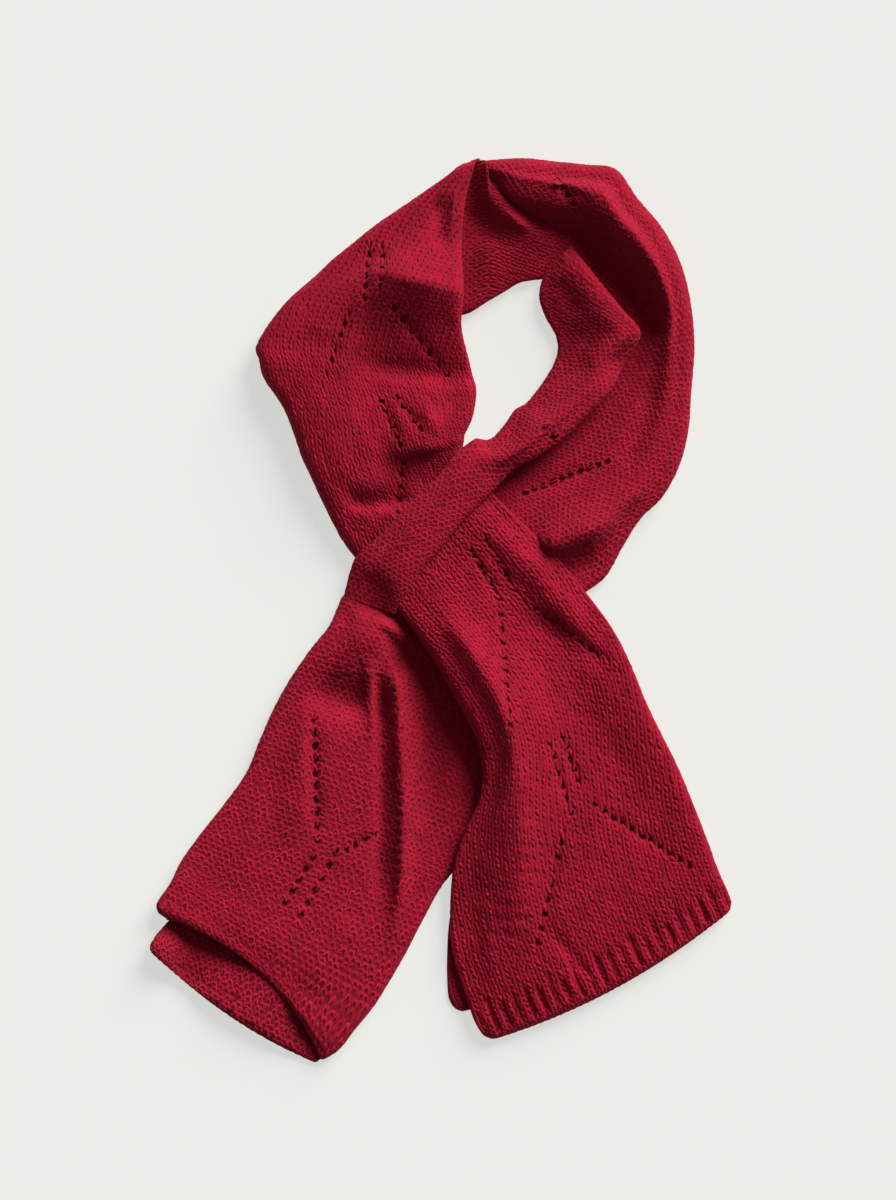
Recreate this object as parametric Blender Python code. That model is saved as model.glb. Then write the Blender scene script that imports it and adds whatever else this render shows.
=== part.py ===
"""Knit pull-through scarf, laid flat.

A hand-knitted double strip with a keyhole slit: one tail is pulled through the slit, so that the
strip makes a neck loop and two crossed tails. Each stretch of cloth is a wall, lofted through a
short table of sections that run across the strip. Metres, +Z up, the scarf lies on Z = 0, and the
origin is under the middle of its box.
"""
import math
from collections import namedtuple

import bmesh
import bpy
import numpy as np
from mathutils import Matrix, Vector
from mathutils.bvhtree import BVHTree

MM = 0.001

# Driving dimensions, in millimetres
WALL = 3.0                 # thickness of one layer of the knitted cloth
SEAM = 0.3                 # gap between neighbouring pieces
ROLL_REACH = 8.0           # widest inset of a rolled edge from its outline
TUCK = 7.0                 # how far a rolled edge runs back under the strip
EYELET_WIDTH = 4.3         # lace hole, across the knitted columns
EYELET_LENGTH = 5.6        # lace hole, along the knitted columns
PLUG_REACH = 2.2           # how far an eyelet's cutter passes the cloth on each side
HIGH_ABOVE = 100.0
RIGHT_HEM_RIBS = 21        # ribs across each hem
LEFT_HEM_RIBS = 17
RIB_RELIEF = 1.3
FOLDED_LAYERS = 6.0        # thickness of two or more layers folded behind a stretch

# Sampling of the lofts
ROLL_POINTS = 4
TOP_POINTS = 10
PANEL_POINTS = 7
CURLED_SHARE = 0.3         # part of a panel's width that a curled corner takes
OPEN_EDGE_RADIUS = 4.5
HOOK_CURL = 120.0          # an edge that curls further than this runs back under the strip

WOOL_COLOUR = (0.195, 0.0068, 0.019, 1.0)
WOOL_SHADE_COLOUR = (0.130, 0.0045, 0.013, 1.0)
WOOL_ROUGHNESS = 0.9

# One section across a stretch: the outline on its A and B sides, the height of what each side
# lies on, how far each edge curls under, seven heights of the cloth from side A to side B, and how
# far the section bows out along the stretch. Side A is on the right of someone who walks along it.
Section = namedtuple("Section", "ax ay bx by under_a under_b curl_a curl_b heights bow",
                     defaults=(0,))

# One line across a flat hidden layer, and how far its A corner curls up
PanelLine = namedtuple("PanelLine", "ax ay bx by bow lift", defaults=(0, 0))

# A soft fold laid over the sections: a curved line from start to end by way of its middle
Fold = namedtuple("Fold", "x0 y0 x1 y1 x2 y2 height width")

# A row of lace holes, from its first hole to its last, turned with the knitted columns
EyeletRow = namedtuple("EyeletRow", "x0 y0 x1 y1 count turn")

LEFT_LEG = [
    #        ax   ay   bx   by  un_a un_b curl_a curl_b  heights from A to B
    Section(10, 285, 22, 293, 0, 8.3, 180, 180, (16, 16, 16, 16, 16, 16, 16)),
    Section(-14, 269, 15, 262, 0, 8.3, 180, 180, (14, 15, 16, 15.5, 15, 15.5, 16)),
    Section(-42, 250, 13, 233, 0, 8.3, 180, 180, (13, 16, 20, 22, 20, 17, 16)),
    Section(-73, 225, 14, 204, 0, 8.3, 180, 180, (12, 15, 20, 24, 26, 25, 19)),
    Section(-103, 197, 13, 181, 0, 8.3, 180, 180, (12, 15.5, 19, 19, 18, 17, 15)),
    Section(-120, 172, 18, 160, 0, 3, 180, 180, (11, 18, 20, 16, 12.5, 10.7, 11)),
    Section(-115.5, 149, 22.5, 141, 0, 0, 180, 180, (11, 19, 20, 14, 13, 15.5, 12)),
    Section(-102, 128, 20, 124, 0, 0, 180, 180, (11, 19, 20, 15, 17, 21, 15)),
    Section(-91, 98, 15, 113, 0, 0, 180, 180, (11, 17, 18, 14.5, 12, 16, 15)),
    Section(-79, 72, 14, 105, 0, 0, 180, 180, (11, 12, 13, 11, 10.5, 12, 13)),
    Section(-66, 46, 16, 98, 0, 0, 180, 180, (11, 13.5, 13.5, 13, 13, 13, 13)),
    Section(-55, 31, 18, 90, 0, 0, 180, 180, (11, 12.5, 13, 13, 13, 13, 13)),
]

RIGHT_TAIL = [
    Section(-38, 14, 25, 86, 8.3, 8.3, 180, 180, (15.5, 16, 16, 16, 16, 16, 15.5)),
    Section(-26, -4, 32, 76, 8.3, 8.3, 180, 180, (15.5, 16, 16.3, 16.3, 16.3, 16.3, 15.5)),
    Section(-14, -21, 53, 55, 8.3, 8.3, 180, 180, (15.5, 18, 19, 18, 17, 18, 17)),
    Section(-1, -41, 75, 33, 8.3, 8.3, 180, 180, (15.5, 22, 21, 16, 14, 17, 17.5)),
    Section(10, -61, 97, 6, 8.3, 8.3, 180, 180, (15.5, 23, 21, 14, 12.5, 14.5, 17)),
    Section(21, -82, 112, -15, 8.3, 5, 180, 180, (15.5, 23, 22, 14, 11, 13, 15)),
    Section(26, -105, 123, -37, 8.3, 3.4, 180, 180, (15.5, 21, 22, 15, 11, 11, 13)),
    Section(23, -126, 132, -59, 8.3, 0, 180, 180, (15.5, 19, 21, 14, 11, 11, 12)),
    Section(14, -145, 141, -78, 8.3, 0, 180, 180, (15.5, 17, 20, 14, 11, 10, 11)),
    Section(7, -169, 153, -102, 8.3, 0, 180, 180, (15.2, 15.2, 18, 14, 11, 10, 10)),
    Section(5, -199, 163, -126, 3.6, 0, 180, 180, (11.5, 13, 16, 13, 11, 10, 9.5), 1),
    Section(7, -225, 172, -149, 3.6, 0, 180, 180, (11, 12, 14.5, 12, 10.5, 9.5, 9), 3),
    Section(16, -254, 180, -171, 3.6, 0, 180, 180, (10.5, 11, 12, 11, 10, 9.5, 8.5), 6),
]

RIGHT_TAIL_HEM = [
    Section(16, -254, 180, -171, 3.6, 0, 180, 180, (10.5, 11, 12, 11, 10, 9.5, 8.5), 6),
    Section(20, -266, 185, -182, 3.6, 0, 180, 180, (10.2, 10.5, 11, 10, 9.5, 9, 8.2), 7),
    Section(26, -279, 190, -194, 3.6, 0, 180, 180, (10, 9.8, 10, 9.2, 9, 8.5, 8), 8),
]

LEFT_TAIL = [
    Section(-65, 7.5, -15, -9, 0, 0, 180, 180, (8, 8.5, 8.5, 8, 7.5, 7.3, 7.2)),
    Section(-72, -9, 13, -35, 0, 0, 180, 180, (11, 17, 17, 9, 7.3, 7.2, 7.2)),
    Section(-86, -27, 27, -62, 0, 0, 180, 180, (10, 12, 13, 12, 7.5, 7.2, 7.2)),
    Section(-99, -46, 37, -91, 0, 0, 180, 180, (10, 12, 14, 14, 9, 7.2, 7.2)),
    Section(-109, -64, 40, -118, 0, 0, 180, 180, (10, 13, 13.5, 13, 11, 7.3, 7.2)),
    Section(-118, -84, 32, -145, 0, 0, 180, 180, (10, 13, 12, 13, 15, 8, 7.2)),
    Section(-127, -106, 14, -165, 0, 0, 180, 180, (10, 13, 12, 12.5, 15, 9.5, 7.2)),
    Section(-141, -126, 1, -179, 0, 0, 180, 180, (9, 12, 12, 12, 13, 14, 7.2)),
    Section(-156, -145, -13, -204, 0, 0, 180, 180, (9, 11, 12, 12, 13, 16, 9)),
    Section(-169, -163, -25, -227, 0, 0, 180, 180, (9, 11, 12, 13, 14, 15, 9)),
    Section(-177, -179, -43, -257, 3.8, 0, 180, 180, (11, 13, 15, 16, 16, 15, 10)),
]

LEFT_TAIL_HEM = [
    Section(-177, -179, -43, -257, 3.8, 0, 180, 180, (11, 13, 15, 16, 16, 15, 10)),
    Section(-182, -188, -57, -275, 6, 0, 180, 180, (13.5, 15.5, 17.5, 18.5, 18, 15, 10), -4),
    Section(-187, -197, -70, -291.5, 9, 0, 180, 180, (16.5, 18, 20, 20.5, 19, 15, 10), -8),
]

NECK_BACK = [
    Section(2, 189, 2, 254, 0, 0, 180, 60, (7.2, 7.2, 7.2, 7.2, 7.2, 7.2, 7.2)),
    Section(16, 191, 18, 286, 0, 0, 180, 60, (7.3, 7.3, 7.3, 7.2, 7.2, 7.2, 7.3)),
    Section(28, 198, 29, 291.5, 0, 0, 180, 60, (8, 11, 12, 9, 7.3, 9, 14)),
    Section(40, 205, 30.5, 280, 0, 0, 180, 60, (8, 11, 12.5, 12, 13, 12, 13)),
    Section(50, 211, 43, 266, 0, 0, 180, 60, (8, 9.5, 11, 13, 15, 14, 12.8)),
    Section(58, 215, 58, 253, 0, 0, 180, 60, (7.5, 8.5, 9.5, 11, 13.5, 13.8, 12.8)),
    Section(66, 220, 78, 239, 0, 0, 180, 60, (7.2, 7.5, 8, 9.5, 11, 12.4, 12.8)),
]

RIGHT_LEG = [
    Section(31.5, 278, 30.5, 291.5, 0, 0, 30, 180, (4.8, 6, 8.5, 11, 13, 15, 15)),
    Section(40, 260, 54, 293, 0, 0, 30, 180, (4.8, 6, 9, 13, 18, 22, 22)),
    Section(51, 251, 73, 290, 0, 0, 30, 180, (4.8, 6, 9, 14, 20, 25, 24)),
    Section(65, 242, 94, 288, 0, 0, 30, 180, (4.8, 6, 10, 16, 22, 26, 25)),
    Section(80, 233, 113, 285, 0, 0, 30, 180, (4.8, 6, 9, 15, 22, 27, 26)),
    Section(87, 224, 127, 266, 0, 0, 30, 180, (4.8, 5.5, 8, 14, 22, 27, 26)),
    Section(98, 206, 142, 248, 0, 0, 30, 180, (4.8, 5, 6.5, 12, 20, 26, 25)),
    Section(110, 188, 154, 226, 0, 0, 30, 180, (4.8, 5, 6, 10, 17, 23, 24)),
    Section(120, 172, 161, 201, 0, 0, 30, 180, (4.8, 5, 6, 9, 15, 20, 21)),
    Section(117, 158, 164, 171, 0, 0, 30, 180, (4.8, 6, 7.5, 10, 13, 16, 17)),
    Section(102, 145, 162, 141, 0, 0, 30, 180, (4.8, 7, 9, 10.5, 12, 14, 14)),
    Section(87, 129, 160, 115, 0, 0, 30, 180, (4.8, 8, 11, 11, 11, 13, 13)),
    Section(71, 113, 154, 92, 0, 0, 30, 180, (4.8, 8, 12, 12, 13, 15, 12)),
    Section(57, 101, 143, 72, 0, 0, 30, 180, (4.8, 8, 12, 14, 17, 18, 13)),
    Section(44, 95, 129, 58, 0, 0, 30, 180, (4.8, 7, 12, 17, 19, 17, 11)),
    Section(34, 89, 117, 39, 0, 0, 30, 180, (4.8, 6.5, 10, 13, 12, 9, 8)),
    Section(27, 80, 106, 20, 0, 0, 30, 180, (4.8, 6.4, 7.4, 7.4, 7.4, 7.3, 7.4)),
    Section(20, 70, 88, 7, 0, 0, 30, 180, (4.8, 6.4, 7.2, 7.2, 7.2, 7.2, 7.2)),
]

INNER_BAND = [
    Section(67, 219, 85, 237, 0, 0, 180, 40, (9, 10, 11, 11.5, 11, 10, 9)),
    Section(64, 211, 93, 225, 0, 0, 180, 40, (9, 11, 13, 14, 14, 13, 9.5)),
    Section(63, 201, 104, 210, 0, 0, 180, 40, (9, 12, 14, 16, 17, 16, 10)),
    Section(67, 189, 117, 194, 0, 0, 180, 40, (9, 11, 13, 16, 20, 21, 11)),
    Section(74, 176, 129, 178, 0, 0, 180, 40, (9, 12, 14, 17, 21, 20, 10)),
    Section(74, 163, 129, 162, 0, 0, 180, 40, (10, 14, 16, 19, 21, 17, 10)),
    Section(66, 148, 111, 142, 0, 0, 180, 40, (10, 16, 19, 21, 20, 15, 10)),
    Section(55, 134, 96, 127, 0, 0, 180, 40, (10, 16, 20, 21, 18, 13.5, 10)),
    Section(47, 129, 80, 111, 0, 0, 180, 40, (10, 16, 20, 20, 18, 14, 10)),
    Section(40, 119, 62, 98, 0, 0, 180, 40, (11, 16, 19, 19, 17, 14, 10.5)),
    Section(31, 110, 47, 90, 0, 0, 180, 40, (13, 17, 19, 19, 18, 16, 13)),
]

STRAP = [
    Section(31, 110, 47, 90, 0, 0, 60, 40, (15, 17, 18.5, 19, 18.5, 17.5, 15)),
    Section(20, 110, 37, 80, 0, 0, 30, 30, (18, 19, 20.5, 21.5, 21, 20.5, 20)),
    Section(9, 101, 30, 73, 0, 0, 30, 30, (17.5, 19.5, 21, 21.5, 21.5, 21, 20.3)),
    Section(-3, 86, 22, 65, 0, 0, 30, 30, (17.5, 19.5, 21, 21.5, 21.5, 21, 20.3)),
    Section(-15, 74, 12, 55, 0, 0, 30, 30, (17.5, 19.5, 21, 21.5, 21.5, 21, 20.3)),
    Section(-28, 61, 1, 41, 0, 0, 30, 30, (17.5, 19.5, 21, 21.5, 21.5, 21, 20.3)),
    Section(-41, 47, -12, 26, 0, 0, 30, 30, (17.3, 19, 20.8, 21, 21, 21, 20.3)),
    Section(-55, 35, -20, 13, 0, 0, 40, 30, (16, 18, 19.5, 20, 20, 20, 20)),
    Section(-60, 24, -24, 5, 0, 0, 60, 30, (13, 14.5, 15.5, 16.5, 18, 19.3, 19.8)),
    Section(-64.2, 7.24, -28, -4.71, 0, 0, 70, 30, (9, 9.5, 10, 11, 12, 13.5, 15)),
]

LEFT_TAIL_FOLDS = [
    #    start      middle     end       height width
    Fold(-39, -45, -38, -80, -35, -122, -4.5, 7),
    Fold(-28, -40, -20, -98, -26, -190, 4.5, 8),
    Fold(-78, -34, -64, -44, -56, -58, -4.5, 9),
    Fold(-84, -90, -84, -115, -82, -150, -1.5, 9),
]
RIGHT_TAIL_FOLDS = []
LEFT_LEG_FOLDS = [
    Fold(-64, 73, -40, 78, -22, 86, -2.0, 7),
    Fold(-7, 270, -2, 258, 2, 244, -1.5, 7),
]
RIGHT_LEG_FOLDS = []

LEFT_LEG_LAYERS = [
    PanelLine(-24, 246, 0, 238),
    PanelLine(-57, 222, 0, 207),
    PanelLine(-87, 196, -1, 184),
    PanelLine(-102, 170, 3, 160),
    PanelLine(-98, 148, 4, 141),
    PanelLine(-88, 127, 1, 124),
    PanelLine(-76, 102, -3, 111),
    PanelLine(-62, 76, -4, 100),
    PanelLine(-47, 54, -1, 89),
]
RIGHT_LEG_LAYER = [
    PanelLine(83, 257, 98, 273),
    PanelLine(108, 240, 113, 251),
    PanelLine(130, 210, 140, 218),
    PanelLine(135, 185, 144, 192),
    PanelLine(133, 163, 144, 166),
    PanelLine(121, 144, 143, 142),
    PanelLine(104, 126, 142, 118),
    PanelLine(88, 109, 140, 97),
    PanelLine(73, 95, 124, 80),
    PanelLine(59, 88, 111, 65),
    PanelLine(50, 78, 100, 48),
    PanelLine(44, 68, 89, 32),
]
CROSSING_LAYERS = [
    PanelLine(-33, 27, 5, 62),
    PanelLine(-6, 2, 44, 38),
    PanelLine(16, -24, 76, 6),
    PanelLine(35, -62, 88, -18),
]
RIGHT_TAIL_LAYER = [
    PanelLine(37, -64, 91, -19),
    PanelLine(43, -84, 106, -33),
    PanelLine(44, -108, 111, -49),
    PanelLine(41, -132, 117, -71),
    PanelLine(28, -154, 128, -88),
    PanelLine(13, -176, 139, -111),
    PanelLine(5, -200, 149, -134),
    PanelLine(3, -227, 159, -157),
    PanelLine(4, -252, 166, -180, 3),
    PanelLine(9, -262, 172, -197, 5),
]
LEFT_TAIL_LAYER = [
    PanelLine(-70, -32, 12, -52),
    PanelLine(-84, -52, 22, -87),
    PanelLine(-95, -70, 25, -112),
    PanelLine(-104, -92, 17, -136),
    PanelLine(-113, -114, -4, -156),
    PanelLine(-127, -134, -19, -177),
    PanelLine(-140, -153, -32, -200),
    PanelLine(-152, -171, -45, -221),
    PanelLine(-166, -190, -58, -246),
    PanelLine(-180, -206, -72, -264, 3, 3),
    PanelLine(-186, -215, -81, -283, 5, 4),
    PanelLine(-190, -222, -75, -294, 8, 5),
]

LEFT_LEG_EYELETS = [
    #         first     last      count turn
    EyeletRow(-47, 236, -50, 201, 6, -3),
    EyeletRow(-38, 234, -40, 207, 5, -3),
    EyeletRow(-60, 191, -78, 145, 7, -10),
    EyeletRow(-31, 194, 3, 152, 7, 10),
    EyeletRow(-39, 134, -27, 106, 6, 22),
    EyeletRow(-29, 136, -14, 116, 5, 22),
    EyeletRow(-25, 95, -29, 62, 5, 10),
]
RIGHT_TAIL_EYELETS = [
    EyeletRow(18, 38, 38, 6, 7, 28),
    EyeletRow(28, 45, 47, 12, 7, 28),
    EyeletRow(54, 4, 114, -39, 11, 28),
    EyeletRow(38, -5, 44, -76, 9, 10),
    EyeletRow(70, -89, 83, -132, 6, 18),
    EyeletRow(78, -84, 91, -119, 6, 18),
    EyeletRow(99, -128, 160, -167, 11, 22),
    EyeletRow(79, -143, 62, -217, 9, 5),
]
LEFT_TAIL_EYELETS = [
    EyeletRow(-84, -162, -102, -191, 5, -30),
    EyeletRow(-69, -159, -92, -199, 6, -30),
    EyeletRow(-81, -150, -83, -72, 10, -10),
    EyeletRow(-62, -157, -44, -146, 4, -20),
]
RIGHT_LEG_EYELETS = [
    EyeletRow(56, 76, 106, 94, 9, -45),
]


def clear_scene():
    """Remove every object that the file starts with."""
    for item in list(bpy.data.objects):
        bpy.data.objects.remove(item, do_unlink=True)


def make_collection(name):
    """Add a collection to the scene."""
    collection = bpy.data.collections.new(name)
    bpy.context.scene.collection.children.link(collection)
    return collection


def make_wool(name, colour):
    """A plain wool finish for one piece."""
    material = bpy.data.materials.new(name)
    material.use_nodes = True
    shader = material.node_tree.nodes["Principled BSDF"]
    shader.inputs["Base Color"].default_value = colour
    shader.inputs["Roughness"].default_value = WOOL_ROUGHNESS
    shader.inputs["Metallic"].default_value = 0.0
    material.diffuse_color = colour
    return material


def cubic(before, start, end, after, t):
    """Catmull-Rom value between start and end."""
    return 0.5 * (2 * start + (end - before) * t
                  + (2 * before - 5 * start + 4 * end - after) * t * t
                  + (3 * start - before - 3 * end + after) * t ** 3)


def sample(values, position):
    """Read a smooth curve through evenly spaced values, at a position counted in steps."""
    last = len(values) - 1
    step = min(int(position), last - 1)
    before = values[max(step - 1, 0)]
    after = values[min(step + 2, last)]
    return cubic(before, values[step], values[step + 1], after, position - step)


def section_rows(table, count):
    """Spread count sections evenly along a table, as rows of plain numbers."""
    numbers = [np.array([*row[:8], row.bow, *row.heights], dtype=float) for row in table]
    return [sample(numbers, place) for place in np.linspace(0, len(table) - 1, count)]


def soft_step(value):
    """Smooth ramp from 0 to 1."""
    value = min(max(value, 0.0), 1.0)
    return value * value * (3 - 2 * value)


def fold_height(folds, x, y):
    """Height that the folds add at one place."""
    total = 0.0
    for fold in folds:
        best, best_t = 1e9, 0.0
        for t in np.linspace(0, 1, 25):
            fx = (1 - t) ** 2 * fold.x0 + 2 * t * (1 - t) * fold.x1 + t * t * fold.x2
            fy = (1 - t) ** 2 * fold.y0 + 2 * t * (1 - t) * fold.y1 + t * t * fold.y2
            distance = math.hypot(x - fx, y - fy)
            if distance < best:
                best, best_t = distance, t
        ends = soft_step(min(best_t, 1 - best_t) / 0.25)
        total += fold.height * ends * math.exp(-(best / fold.width) ** 2)
    return total


def edge_profile(under, crest, curl, width):
    """Outer and inner points of one edge, from its inner end up to its crest.

    Each point is (inset from the outline, height). A rolled edge spans from what it lies on up to
    its crest and runs back under the strip; an open edge only turns down a little.
    """
    hooked = curl > HOOK_CURL
    rise = (crest - under) / 2 if hooked else OPEN_EDGE_RADIUS
    inset = min(ROLL_REACH, rise * 1.1, width / 4)
    middle = crest - rise
    outer, inner = [], []
    for angle in np.radians(np.linspace(90.0 - curl, 90.0, ROLL_POINTS + 1)):
        outer.append((inset - inset * math.cos(angle), middle + rise * math.sin(angle)))
        inner_inset = inset - max(inset - WALL, 0.4) * math.cos(angle)
        inner.append((inner_inset, middle + max(rise - WALL, 0.3) * math.sin(angle)))
    if hooked:
        tuck = min(TUCK, width / 2 - inset - 3 * SEAM)
        outer.insert(0, (outer[0][0] + tuck, outer[0][1]))
        inner.insert(0, (inner[0][0] + tuck, inner[0][1]))
    return outer, inner


def section_frame(row):
    """Start, direction and width of one section."""
    start = np.array(row[0:2])
    span = np.array(row[2:4]) - start
    width = float(np.hypot(*span))
    return start, span / width, width


def bowed(start, across, width, inset, bow):
    """Plan position at an inset along a section that bows out along its stretch."""
    share = inset / width
    forward = np.array([across[1], -across[0]])
    return start + across * inset + forward * bow * 4 * share * (1 - share)


def section_faces(row, folds, top_points):
    """Points of the cloth's outer and inner faces across one section, from edge A to edge B."""
    start, across, width = section_frame(row)
    under_a, under_b, curl_a, curl_b, bow = row[4:9]
    heights = row[9:]
    outer_a, inner_a = edge_profile(max(under_a, 0.0), heights[0], curl_a, width)
    outer_b, inner_b = edge_profile(max(under_b, 0.0), heights[-1], curl_b, width)
    first, last = outer_a[-1][0], width - outer_b[-1][0]
    top = []
    for share in np.linspace(0, 1, top_points + 1):
        inset = first + (last - first) * share
        spot = bowed(start, across, width, inset, bow)
        mask = soft_step(6 * min(share, 1 - share))
        rise = sample(heights, share * (len(heights) - 1)) + mask * fold_height(folds, *spot)
        top.append((inset, rise))
    outer = outer_a[:-1] + top + [(width - inset, rise) for inset, rise in reversed(outer_b[:-1])]
    inner = inner_a[:-1] + [(inset, rise - WALL) for inset, rise in top]
    inner += [(width - inset, rise) for inset, rise in reversed(inner_b[:-1])]
    place = [[np.array([*bowed(start, across, width, inset, bow), rise]) for inset, rise in line]
             for line in (outer, inner)]
    return place[0], place[1]


def stretch_grids(table, count, folds, top_points=TOP_POINTS):
    """Outer and inner faces of a stretch as grids of points: sections by places across."""
    faces = [section_faces(row, folds, top_points) for row in section_rows(table, count)]
    return np.array([outer for outer, _ in faces]), np.array([inner for _, inner in faces])


def grid_normals(grid):
    """Outward unit normals of a grid."""
    along = np.gradient(grid, axis=0)
    across = np.gradient(grid, axis=1)
    normals = np.cross(along, across)
    return normals / np.linalg.norm(normals, axis=2, keepdims=True)


def closed_wall(name, outer, inner, collection, material):
    """Closed body between an outer and an inner grid of points."""
    rows, places = outer.shape[:2]
    shape = bmesh.new()
    top = [[shape.verts.new(point * MM) for point in line] for line in outer]
    bottom = [[shape.verts.new(point * MM) for point in line] for line in inner]
    for j in range(rows - 1):
        for i in range(places - 1):
            shape.faces.new((top[j][i], top[j + 1][i], top[j + 1][i + 1], top[j][i + 1]))
            shape.faces.new((bottom[j][i + 1], bottom[j + 1][i + 1], bottom[j + 1][i], bottom[j][i]))
    for j in range(rows - 1):
        shape.faces.new((top[j][0], bottom[j][0], bottom[j + 1][0], top[j + 1][0]))
        shape.faces.new((top[j + 1][-1], bottom[j + 1][-1], bottom[j][-1], top[j][-1]))
    for i in range(places - 1):
        shape.faces.new((top[0][i + 1], bottom[0][i + 1], bottom[0][i], top[0][i]))
        shape.faces.new((top[-1][i], bottom[-1][i], bottom[-1][i + 1], top[-1][i + 1]))
    return add_body(name, shape, collection, material)


def add_body(name, shape, collection, material):
    """Turn a bmesh into a named, smooth-shaded object."""
    mesh = bpy.data.meshes.new(name)
    shape.to_mesh(mesh)
    shape.free()
    mesh.shade_smooth()
    mesh.set_sharp_from_angle(angle=math.radians(50))
    body = bpy.data.objects.new(name, mesh)
    body.data.materials.append(material)
    collection.objects.link(body)
    return body


def open_seam(outer, inner):
    """Move the first section along, to leave the seam's gap to the stretch before."""
    run = outer[1] - outer[0]
    gap = run / np.linalg.norm(run, axis=1, keepdims=True) * SEAM
    outer[0] += gap
    inner[0] += gap


def stretch_wall(name, table, count, folds, collection, material):
    """Wall of cloth through a table of sections."""
    outer, inner = stretch_grids(table, count, folds)
    open_seam(outer, inner)
    return closed_wall(name, outer, inner, collection, material)


def hem_wall(name, table, rib_count, collection, material):
    """Ribbed hem: the ribs stand on the outer points over a plain inside."""
    plain, inner = stretch_grids(table, 3, [], top_points=rib_count * 3)
    ends = ROLL_POINTS + 1
    relief = np.zeros(plain.shape[:2])
    for i in range(ends, plain.shape[1] - ends):
        relief[:, i] = RIB_RELIEF if (i - ends) % 3 else 0.0
    outer = plain + grid_normals(plain) * relief[:, :, None]
    open_seam(outer, inner)
    return closed_wall(name, outer, inner, collection, material)


def hidden_layers(name, table, thickness, collection, material):
    """Flat layers that lie on the floor between the rolled edges of a stretch."""
    lines = []
    for line in table:
        start, across, width = section_frame(line)
        points = []
        for share in np.linspace(0, 1, PANEL_POINTS):
            x, y = bowed(start, across, width, width * share, line.bow)
            lift = line.lift * max(1 - share / CURLED_SHARE, 0.0) ** 2
            points.append([x, y, lift])
        lines.append(points)
    inner = np.array(lines)
    outer = inner + np.array([0.0, 0.0, thickness])
    return closed_wall(name, outer, inner, collection, material)


def cloth_tree(outer):
    """Search tree of an outer face, to find the cloth's height at a place."""
    rows, places = outer.shape[:2]
    faces = [(j * places + i, (j + 1) * places + i, (j + 1) * places + i + 1, j * places + i + 1)
             for j in range(rows - 1) for i in range(places - 1)]
    return BVHTree.FromPolygons([tuple(point) for point in outer.reshape(-1, 3)], faces)


def eyelet_cutter(name, rows, outer, collection):
    """One object with a six-sided plug through the cloth's top layer at every lace hole."""
    tree = cloth_tree(outer)
    shape = bmesh.new()
    for row in rows:
        for share in np.linspace(0, 1, row.count):
            x = row.x0 + (row.x1 - row.x0) * share
            y = row.y0 + (row.y1 - row.y0) * share
            height = tree.ray_cast(Vector((x, y, HIGH_ABOVE)), Vector((0, 0, -1)))[0].z
            add_plug(shape, x, y, height - WALL - PLUG_REACH, height + PLUG_REACH,
                     math.radians(row.turn))
    plugs = add_body(name, shape, collection, None)
    plugs.hide_render = True
    plugs.display_type = 'WIRE'
    return plugs


def add_plug(shape, x, y, low, high, turn):
    """Add one six-sided upright plug, longer along the knitted columns."""
    across = np.array([math.cos(turn), math.sin(turn)]) * EYELET_WIDTH / 2
    along = np.array([math.sin(turn), -math.cos(turn)]) * EYELET_LENGTH / 2
    corners = [(x, y) + across * math.cos(angle) + along * math.sin(angle)
               for angle in np.radians([30, 90, 150, 210, 270, 330])]
    lower = [shape.verts.new((*(corner * MM), low * MM)) for corner in corners]
    upper = [shape.verts.new((*(corner * MM), high * MM)) for corner in corners]
    caps = [shape.faces.new(lower), shape.faces.new(upper)]
    sides = [shape.faces.new((lower[k - 1], lower[k], upper[k], upper[k - 1])) for k in range(6)]
    bmesh.ops.recalc_face_normals(shape, faces=caps + sides)


def cut_eyelets(wall, rows, table, count, folds, cutters):
    """Cut the lace holes of one stretch through its top layer."""
    outer, _ = stretch_grids(table, count, folds)
    plugs = eyelet_cutter(wall.name + "_plugs", rows, outer, cutters)
    cut = wall.modifiers.new("lace_holes", 'BOOLEAN')
    cut.operation = 'DIFFERENCE'
    cut.solver = 'EXACT'
    cut.object = plugs


def stand_on_origin(pieces, cutters):
    """Move everything so that the origin is under the middle of the pieces' box."""
    corners = np.array([vertex.co for piece in pieces for vertex in piece.data.vertices])
    low, high = corners.min(axis=0), corners.max(axis=0)
    middle = (low + high) / 2
    shift = Matrix.Translation((-middle[0], -middle[1], -low[2]))
    for item in [*pieces, *cutters]:
        item.data.transform(shift)


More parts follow.
